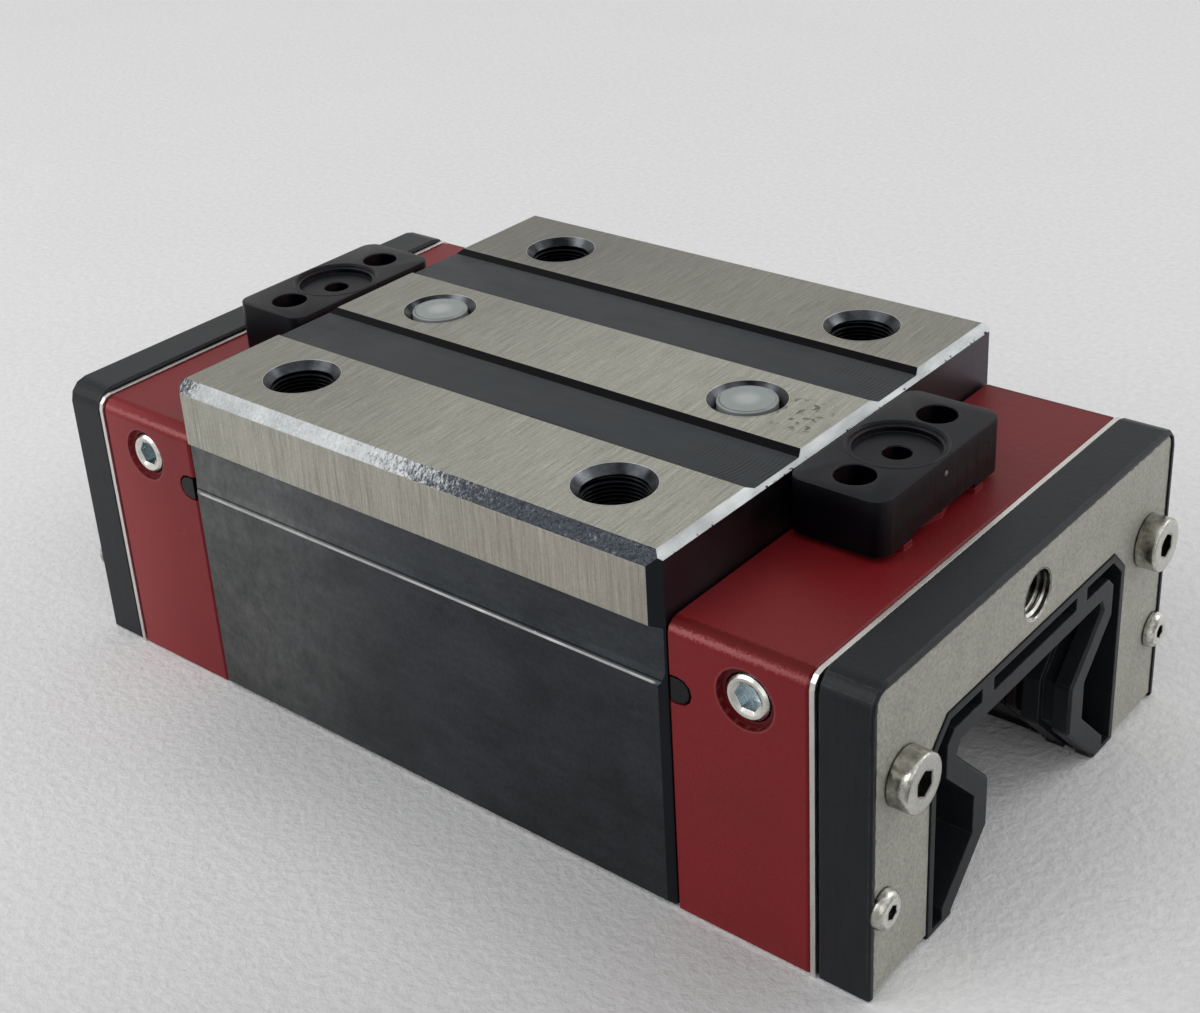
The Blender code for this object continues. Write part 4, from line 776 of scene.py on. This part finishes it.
def plated_steel():
    """Zinc plated screws with faint turning marks, stains and painted glints, sockets painted dark as painted shade
    and a painted shadow at their feet, and the grease holes' threads, painted light below and shade above.
    """
    finish = Finish("plated_steel", bpy.context.scene.carriage_end.screw_colour, 0.26, 1.0, 0.00006)
    marks = finish.grain(0.0004, detail=4, roughness=0.6)
    broad = finish.noise(0.0022)
    flat = abs(finish.facing_x).rise(*UPRIGHT)
    stain = (1 - flat) * finish.grain(0.0020, detail=4)
    glints = (1 - flat) * finish.noise(0.0016).rise(0.60, 0.72)
    # A dark band at each screw's foot: a painted shadow.
    foot_shadow = abs(finish.x).fall(PLATE_HIGH.x + 0.00012, PLATE_HIGH.x + 0.00032)
    cap_head = finish.z.rise((BUTTON_HIGH.z + CAP_SCREW_LOW.z) / 2, CAP_SCREW_LOW.z)
    cap_socket = socket_depth(finish, CAP_SCREW_LOW, CAP_SCREW_HIGH, 0.00160)
    button_socket = socket_depth(finish, BUTTON_LOW, BUTTON_HIGH, 0.00092)
    lit_below = finish.z.rise(GREASE_HOLE_HEIGHT - 0.0025, GREASE_HOLE_HEIGHT - 0.0010)
    grease_colour = finish.tint(shade(236, 236, 230)).mixed(lit_below, shade(84, 84, 80))
    colour = finish.base.varied(marks, 0.84, 1.12).varied(broad, 0.88, 1.12)
    colour = colour.layered((stain * 0.9, shade(78, 74, 60)), (glints * 0.6, shade(250, 250, 244)))
    colour = colour.varied(flat * cap_head, 1.0, 0.84).varied(1 - cap_head, 1.0, 1.12)
    # Sockets painted dark as painted shade, the painted shadow at the feet, and the grease threads painted light
    # below and shade above.
    colour = colour.layered(
        ((cap_socket | button_socket) * marks.spread(0.5, 0.95), shade(48, 47, 42)),
        (foot_shadow * 0.85, shade(20, 20, 18)),
        (abs(finish.y).fall(GREASE_HOLE_RADIUS, GREASE_HOLE_RADIUS + 0.001), grease_colour),
    )
    finish.bump((marks, 10))
    return finish.paint(colour, broad.spread(0.14, 0.32))


def socket_depth(finish, low, high, radius):
    """1 inside the sockets of a screw and of its mirror images, below the head's face."""
    middle = (low + high) / 2
    reach = (abs(finish.y) - abs(middle.y)).reach(finish.z - middle.z)
    below = abs(finish.x).fall(high.x - 0.0004, high.x - 0.0001)
    return below * reach.fall(radius, radius + 0.00005)


def port_screw_steel():
    """Plated set screws with a bluish socket."""
    end = bpy.context.scene.carriage_end
    finish = Finish("port_screw_steel", end.screw_colour, 0.22, 1.0, 0.00005)
    marks = finish.noise(0.0005, detail=4)
    deep = abs(finish.y).fall(PORT_HIGH.y - 0.0005, PORT_HIGH.y - 0.0002)
    finish.bump((marks, 20))
    colour = finish.base.mixed(deep, tuple(end.socket_colour)).varied(marks, 0.8, 1.2)
    return finish.paint(colour, marks.spread(0.18, 0.34))


def sheet_steel():
    """The thin bright sheets between the caps and the wipers, with painted shade in the opening."""
    finish = Finish("sheet_steel", bpy.context.scene.carriage_end.sheet_colour, 0.32, 1.0, 0.00012)
    marks = finish.noise(0.0007, (1, 4, 4), 4, 0.6)
    finish.bump((marks, 10))
    # Dark in the opening: painted shade.
    colour = finish.base.varied(marks, 0.75, 1.2).mixed(in_opening(finish), shade(24, 24, 27))
    return finish.paint(colour, marks.spread(0.26, 0.42))


def roller_steel():
    """Polished rollers under a film of oil."""
    finish = Finish("roller_steel", bpy.context.scene.carriage_end.roller_colour, 0.14, 1.0)
    return finish.simple(finish.noise(0.002, detail=3), 4, (0.85, 1.1), (0.10, 0.22))


class CARRIAGE_OT_stage(Operator):
    """Set up the paper floor, the soft lights and the camera"""

    bl_idname = "carriage.stage"
    bl_label = "Stage, Lights and Camera"

    def execute(self, context):
        stage = context.scene.carriage_stage
        make_floor(stage)
        make_room(stage)
        make_lights(stage)
        make_camera()
        return {"FINISHED"}


FLOOR_SIZE = 6.0
LENS = 56.01
SENSOR_WIDTH = 36.0
CAMERA_PLACE = Vector((0.14040, -0.16086, 0.14309))
CAMERA_AIM = Vector((-0.59790, 0.66897, -0.44159))
CAMERA_RIGHT = Vector((0.76386, 0.64250, -0.06092))
CAMERA_SHIFT = (0.0268, -0.0809)
CLIP = (0.01, 20.0)


def make_floor(stage):
    """A wide sheet of pale paper that the carriage stands on, with a very soft tooth, painted shade towards the
    camera, painted light before the front end and far away, and a painted shadow beside the carriage.
    """
    work = bmesh.new()
    bmesh.ops.create_grid(work, x_segments=8, y_segments=8, size=FLOOR_SIZE / 2)
    mesh = bpy.data.meshes.new("paper_floor")
    work.to_mesh(mesh)
    work.free()
    finish = Finish("paper", stage.floor_colour, 0.75)
    x, y = finish.x, finish.y
    tooth = finish.noise(0.0012, detail=4, roughness=0.6)
    cloud = finish.noise(0.05)
    finish.bump((tooth, 260), (cloud, 600))
    # Painted shade darkens the paper towards the camera; before the front end painted light lifts it again.
    depth = y - x
    near_front = x.fall(0.080, 0.130) * y.band(-0.025, 0.030, 0.030)
    close = depth.rise(-0.19, -0.03) | near_front
    # A painted shadow along the carriage's near side.
    right = y * -1.0
    side_shadow = right.rise(BODY_HIGH.y - 0.001, BODY_HIGH.y) * right.fall(BODY_HIGH.y, 0.062)
    side_shadow = side_shadow * x.band(-0.020, 0.045, 0.030)
    colour = finish.base.varied(tooth.strong(), 0.94, 1.045).varied(cloud, 0.98, 1.02).varied(close, 0.50, 1.0)
    # The painted shadow beside the carriage, and painted light far away.
    colour = colour.varied(side_shadow, 1.0, 0.76).varied(depth.rise(0.10, 0.70), 1.0, 1.08)
    mesh.materials.append(finish.paint(colour))
    placed("paper_floor", mesh)


def make_room(stage):
    """The pale room all round, seen plainly by the camera and in reflections."""
    world = bpy.data.worlds.new("pale_room")
    room = Tree(world)
    background = room.tree.nodes["Background"].inputs
    room.join(tuple(stage.backdrop_colour), background["Color"])
    path = room.parts("ShaderNodeLightPath")
    seen = path["Is Camera Ray"] | path["Is Glossy Ray"] | path["Is Transmission Ray"]
    room.join(seen.spread(stage.room_level, 1.0), background["Strength"])
    bpy.context.scene.world = world


def soft_light(name, place, size, power):
    """A square area light aimed at the middle of the carriage."""
    data = bpy.data.lights.new(name, "AREA")
    data.size = size
    data.energy = power
    light = placed(name, data)
    target = Vector((0, 0, BODY_HIGH.z / 2))
    light.location = place
    light.rotation_euler = (target - Vector(place)).to_track_quat("-Z", "Y").to_euler()


def make_lights(stage):
    """A big window light from the near left, a weak fill and a smaller light past the front end."""
    soft_light("window_light", (-0.36, -0.47, 0.46), 0.60, stage.window_power)
    soft_light("fill_light", (0.55, -0.35, 0.30), 0.60, stage.fill_power)
    soft_light("far_light", (0.45, 0.55, 0.50), 0.45, stage.far_power)


def make_camera():
    """The camera at the photograph's viewing angle."""
    data = bpy.data.cameras.new("camera")
    data.lens = LENS
    data.sensor_width = SENSOR_WIDTH
    data.shift_x, data.shift_y = CAMERA_SHIFT
    data.clip_start, data.clip_end = CLIP
    camera = placed("camera", data)
    back = -CAMERA_AIM.normalized()
    up = back.cross(CAMERA_RIGHT).normalized()
    right = up.cross(back)
    turn = Matrix((right, up, back)).transposed().to_4x4()
    camera.matrix_world = Matrix.Translation(CAMERA_PLACE) @ turn
    bpy.context.scene.camera = camera
    bpy.context.scene.view_settings.view_transform = "Standard"


class CARRIAGE_OT_body(Operator):
    """Finish the hardened body and cut its mounting threads"""

    bl_idname = "carriage.body"
    bl_label = "Body and Mounting Threads"

    def execute(self, context):
        material = block_steel()
        cover(nodes_named("carriage_body"), material)
        steel = context.scene.carriage_steel
        steps = context.scene.carriage_end.thread_steps
        root = HOLE_RADIUS * FACET_INSET + ROOT_CLEARANCE

        for corner_words, turn, side in four_corners():
            place = line_hole(f"{corner_words}_hole", turn, side * HOLE_Y, MOUNTING_LINING, material)
            ridge = thread_ridge(root, steel.thread_depth, steel.thread_pitch, *MOUNTING_THREAD, steps)
            new_piece(f"{corner_words}_mounting_thread", ridge, material, place)
        for end_word, turn in two_ends():
            line_hole(f"{end_word}_plug_hole", turn, 0, PLUG_LINING, material)
        return {"FINISHED"}


ROOT_CLEARANCE = 0.00003
MOUNTING_THREAD = (-0.0122, -0.0011)
MOUNTING_LINING = 0.0125
PLUG_LINING = 0.0030
GREASE_THREAD = (-0.0050, -0.0003)
GREASE_LINING = 0.0052


def line_hole(words, turn, across, depth, material):
    """Line one of the body's holes, and give its place."""
    place = turn @ Matrix.Translation((HOLE_X, across, BODY_HIGH.z))
    lining = hole_lining(SINK_RADIUS, HOLE_RADIUS, SINK_DEPTH, depth)
    new_piece(f"{words}_lining", lining, material, place)
    return place


PLUG_SETBACK = 0.00008
PLUG_RADIUS = 0.0037
SHANK_RADIUS = HOLE_RADIUS * 0.965
PLUG_GROOVE_INNER = 0.00330
PLUG_GROOVE_OUTER = 0.00342


class CARRIAGE_OT_plugs(Operator):
    """Make the plugs in the two middle holes"""

    bl_idname = "carriage.plugs"
    bl_label = "Hole Plugs"

    def execute(self, context):
        material = milky_plastic()
        top = BODY_HIGH.z - PLUG_SETBACK
        low = PLUG_LOW.z
        profile = [
            (0, top), (PLUG_GROOVE_INNER, top), (PLUG_GROOVE_INNER + 0.00003, top - 0.00005),
            (PLUG_GROOVE_OUTER - 0.00003, top - 0.00005), (PLUG_GROOVE_OUTER, top - 0.00001),
            (PLUG_RADIUS - 0.00010, top - 0.00003), (PLUG_RADIUS, top - 0.00014), (PLUG_RADIUS, top - 0.0013),
            (SHANK_RADIUS, top - 0.0017), (SHANK_RADIUS, low), (0, low),
        ]
        for end_word, turn in two_ends():
            place = turn @ Matrix.Translation((HOLE_X, 0, 0))
            piece = new_piece(f"{end_word}_milky_plug", turned(profile), material, place)
            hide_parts(f"{end_word}_hole_plug")
        return {"FINISHED"}


class CARRIAGE_OT_caps(Operator):
    """Finish the red end caps"""

    bl_idname = "carriage.caps"
    bl_label = "End Caps"

    def execute(self, context):
        cover(nodes_named("end_cap"), red_moulding())
        return {"FINISHED"}


class CARRIAGE_OT_black_pieces(Operator):
    """Finish the wiper frames, tabs, return blocks and retainers"""

    bl_idname = "carriage.black_pieces"
    bl_label = "Black Mouldings"

    def execute(self, context):
        material = black_moulding()
        cover(nodes_named("wiper_frame", "locating_tab", "return_block", "retainer"), material)
        return {"FINISHED"}


ADAPTER_MIDDLE = (ADAPTER_LOW + ADAPTER_HIGH) / 2
ADAPTER_CORNER = 0.0020
ADAPTER_BEVEL = 0.00016
CORNER_STEPS = 10
ADAPTER_SEAT_WIDTH = 0.0136
ADAPTER_SEAT_RISE = 0.0005
ADAPTER_BORE_SPACING = 0.0087
ADAPTER_BORE = 0.0024
GATE_HEIGHT = 0.0048
RECESS_RIM = (
    (0.00574, 0.00000), (0.00576, 0.00004), (0.00582, 0.00007), (0.00588, 0.00007), (0.00594, 0.00004),
    (0.00596, 0.00000), (0.00596, -0.00010), (0.00574, -0.00010),
)


def adapter_shape():
    """An adapter: a block with round corners, a stepped recess round its port and two deep holes."""
    half_x, half_y = ((ADAPTER_HIGH - ADAPTER_LOW) / 2).xy - Vector((ADAPTER_CORNER, ADAPTER_CORNER))
    work = bmesh.new()
    loop = []
    for corner, (x, y) in enumerate(((half_x, half_y), (-half_x, half_y), (-half_x, -half_y), (half_x, -half_y))):
        for step in range(CORNER_STEPS + 1):
            angle = math.pi / 2 * (corner + step / CORNER_STEPS)
            place = (x + ADAPTER_CORNER * math.cos(angle), y + ADAPTER_CORNER * math.sin(angle), 0)
            loop.append(work.verts.new(place))
    height = ADAPTER_HIGH.z - ADAPTER_LOW.z
    raised = bmesh.ops.extrude_face_region(work, geom=[work.faces.new(loop)])["geom"]
    top_verts = [item for item in raised if isinstance(item, bmesh.types.BMVert)]
    bmesh.ops.translate(work, verts=top_verts, vec=(0, 0, height))
    rim = [edge for edge in work.edges if all(vert in top_verts for vert in edge.verts)]
    bmesh.ops.bevel(work, geom=rim, offset=ADAPTER_BEVEL, segments=2, profile=0.6, affect="EDGES")
    above = height + 0.001
    recess = [
        (0, above), (0.00572, above), (0.00572, height), (0.00550, height - 0.00018), (0.00548, height - 0.00036),
        (0.00518, height - 0.00038), (0.00508, height - 0.00048), (0.00504, height - 0.00110),
        (0.00180, height - 0.00112), (0.00168, height - 0.00124), (0.00168, 0.0010), (0, 0.0010),
    ]
    tools = [turned(recess)]
    for side in (1, -1):
        bore = [
            (0, above), (ADAPTER_BORE + 0.0002, above), (ADAPTER_BORE + 0.0001, height),
            (ADAPTER_BORE, height - 0.0001), (ADAPTER_BORE, 0.0006), (0, 0.0006),
        ]
        deep_hole = turned(bore)
        bmesh.ops.translate(deep_hole, verts=deep_hole.verts, vec=(0, side * ADAPTER_BORE_SPACING, 0))
        tools.append(deep_hole)
    arch = bmesh.new()
    bmesh.ops.create_cube(arch, size=1, matrix=Matrix.Diagonal((0.03, ADAPTER_SEAT_WIDTH, 2 * ADAPTER_SEAT_RISE, 1)))
    tools.append(arch)
    work = carve(work, tools)
    bmesh.ops.translate(work, verts=work.verts, vec=(*ADAPTER_MIDDLE.xy, ADAPTER_LOW.z))
    return work


class CARRIAGE_OT_adapters(Operator):
    """Make the lubrication adapters, each with a recess rim and a small gate mark"""

    bl_idname = "carriage.adapters"
    bl_label = "Adapters"

    def execute(self, context):
        material = adapter_plastic()
        pale = torn_plastic()
        gate = [(0, 0.00012), (0.00020, 0.00012), (0.00034, 0.00004), (0.00034, -0.0002), (0, -0.0002)]
        gate_place = Matrix.Translation((ADAPTER_HIGH.x, 0.0001, ADAPTER_LOW.z + GATE_HEIGHT)) @ OUTWARD
        rim_place = Matrix.Translation((*ADAPTER_MIDDLE.xy, ADAPTER_HIGH.z))
        for end_word, turn in two_ends():
            piece = new_piece(f"{end_word}_lubrication_adapter", adapter_shape(), material, turn, 20)
            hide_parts(f"{end_word}_grease_adapter")
            rim = turned(RECESS_RIM)
            new_piece(f"{end_word}_recess_rim", rim, material, turn @ rim_place)
            new_piece(f"{end_word}_gate_mark", turned(gate, 24), pale, turn @ gate_place)
        return {"FINISHED"}


class CARRIAGE_OT_rubber_pieces(Operator):
    """Finish the O-rings and bottom seals"""

    bl_idname = "carriage.rubber_pieces"
    bl_label = "Rubber Pieces"

    def execute(self, context):
        cover(nodes_named("o_ring", "bottom_seal"), seal_rubber())
        return {"FINISHED"}


class CARRIAGE_OT_plates(Operator):
    """Finish the sheets and wiper plates and cut the grease threads"""

    bl_idname = "carriage.plates"
    bl_label = "Plates and Grease Threads"

    def execute(self, context):
        cover(nodes_named("backing_sheet"), sheet_steel())
        cover(nodes_named("wiper_plate"), plate_steel())
        end = context.scene.carriage_end
        material = plated_steel()
        mouth = Matrix.Translation((PLATE_HIGH.x, 0, GREASE_HOLE_HEIGHT)) @ OUTWARD
        root = GREASE_HOLE_RADIUS * FACET_INSET + ROOT_CLEARANCE
        for end_word, turn in two_ends():
            lining = hole_lining(GREASE_HOLE_RADIUS + GREASE_EDGE, GREASE_HOLE_RADIUS, GREASE_EDGE, GREASE_LINING)
            new_piece(f"{end_word}_grease_lining", lining, material, turn @ mouth)
            ridge = thread_ridge(root, end.thread_depth, end.thread_pitch, *GREASE_THREAD, end.thread_steps)
            new_piece(f"{end_word}_grease_thread", ridge, material, turn @ mouth)
        return {"FINISHED"}


def cap_screw_profile(length):
    """A socket head with a small edge, its hexagon socket and its shank."""
    return [
        (0, 0.0011), (0.00155, 0.0012, True), (0.00155, 0.00258, True), (0.00175, 0.0027), (0.0030, 0.0027),
        (0.00325, 0.00263), (0.00337, 0.00247), (0.0034, 0.00225), (0.0034, 0.00012), (0.0033, 0), (0.0020, 0),
        (0.0020, -length), (0, -length),
    ]


def button_screw_profile(length):
    """A domed head with a small hexagon socket and its shank."""
    turns = (0, 0.26, 0.52, 0.79, 1.05, 1.31, 1.57)
    dome = [(0.0014 + 0.0009 * math.sin(turn), 0.0004 + 0.0010 * math.cos(turn)) for turn in turns]
    inside = [(0, 0.00060), (0.00088, 0.00065, True), (0.00088, 0.00132, True), (0.00100, 0.0014)]
    return [*inside, *dome, (0.0023, 0), (0.0010, 0), (0.0010, -length), (0, -length)]


def port_screw_profile(length):
    """A set screw: a flat ring round its hexagon socket, and a bevelled, threaded edge."""
    radius = 0.00268
    socket = [(0, -0.0022), (0.00168, -0.0020, True), (0.00168, -0.00028, True)]
    edge = [(0.00196, -0.00004), (0.00205, 0), (0.00236, 0), (radius, -0.00030)]
    for groove in range(4):
        height = -0.00045 - 0.0005 * groove
        edge += [(0.00256, height - 0.00013), (radius, height - 0.00026)]
    return [*socket, *edge, (radius, -length), (0, -length)]


class CARRIAGE_OT_screws(Operator):
    """Make the screws of both ends"""

    bl_idname = "carriage.screws"
    bl_label = "Screws"

    def execute(self, context):
        plated = plated_steel()
        chrome = port_screw_steel()
        face = PLATE_HIGH.x + LIP_RISE
        kinds = (
            ("cap", cap_screw_profile, CAP_SCREW_LOW, CAP_SCREW_HIGH),
            ("button", button_screw_profile, BUTTON_LOW, BUTTON_HIGH),
        )
        for corner_words, turn, side in four_corners():
            for kind, profile, low, high in kinds:
                work = turned(profile(face - low.x), SOCKET_STEPS)
                middle = (low + high) / 2
                place = turn @ Matrix.Translation((face, side * middle.y, middle.z)) @ OUTWARD
                piece = new_piece(f"{corner_words}_{kind}_socket_screw", work, plated, place)
                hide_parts(f"{corner_words}_{kind}_screw")
            work = turned(port_screw_profile(PORT_HIGH.y - PORT_LOW.y), SOCKET_STEPS)
            middle = (PORT_LOW + PORT_HIGH) / 2
            place = turn @ Matrix.Translation((middle.x, side * PORT_HIGH.y, middle.z))
            place = place @ Matrix.Rotation(-side * math.pi / 2, 4, "X")
            piece = new_piece(f"{corner_words}_set_screw", work, chrome, place)
            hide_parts(f"{corner_words}_port_screw")
        return {"FINISHED"}


class CARRIAGE_OT_rollers(Operator):
    """Finish the rollers of all four circuits"""

    bl_idname = "carriage.rollers"
    bl_label = "Rollers"

    def execute(self, context):
        cover(nodes_named("rollers"), roller_steel())
        return {"FINISHED"}


OPERATORS = (
    CARRIAGE_OT_stage,
    CARRIAGE_OT_body,
    CARRIAGE_OT_plugs,
    CARRIAGE_OT_caps,
    CARRIAGE_OT_black_pieces,
    CARRIAGE_OT_adapters,
    CARRIAGE_OT_rubber_pieces,
    CARRIAGE_OT_plates,
    CARRIAGE_OT_screws,
    CARRIAGE_OT_rollers,
)
SETTINGS = (
    ("carriage_stage", CarriageStageSettings),
    ("carriage_steel", CarriageSteelSettings),
    ("carriage_plastic", CarriagePlasticSettings),
    ("carriage_end", CarriageEndSettings),
)


class CARRIAGE_PT_panel(Panel):
    """The carriage's operators and settings in the sidebar"""

    bl_idname = "CARRIAGE_PT_panel"
    bl_label = "Linear Guide Carriage"
    bl_space_type = "VIEW_3D"
    bl_region_type = "UI"
    bl_category = "Carriage"

    def draw(self, context):
        for operator in OPERATORS:
            self.layout.operator(operator.bl_idname)
        for name, group in SETTINGS:
            column = self.layout.column()
            for setting in group.__annotations__:
                column.prop(getattr(context.scene, name), setting)


def register():
    for _, group in SETTINGS:
        bpy.utils.register_class(group)
    for name, group in SETTINGS:
        setattr(bpy.types.Scene, name, PointerProperty(type=group))
    for operator in OPERATORS:
        bpy.utils.register_class(operator)
    bpy.utils.register_class(CARRIAGE_PT_panel)


def unregister():
    bpy.utils.unregister_class(CARRIAGE_PT_panel)
    for operator in reversed(OPERATORS):
        bpy.utils.unregister_class(operator)
    for name, group in reversed(SETTINGS):
        delattr(bpy.types.Scene, name)
        bpy.utils.unregister_class(group)


def main():
    """Register the add-on and build the whole scene."""
    register()
    for operator in OPERATORS:
        group, action = operator.bl_idname.split(".")
        getattr(getattr(bpy.ops, group), action)()


if __name__ == "__main__":
    main()
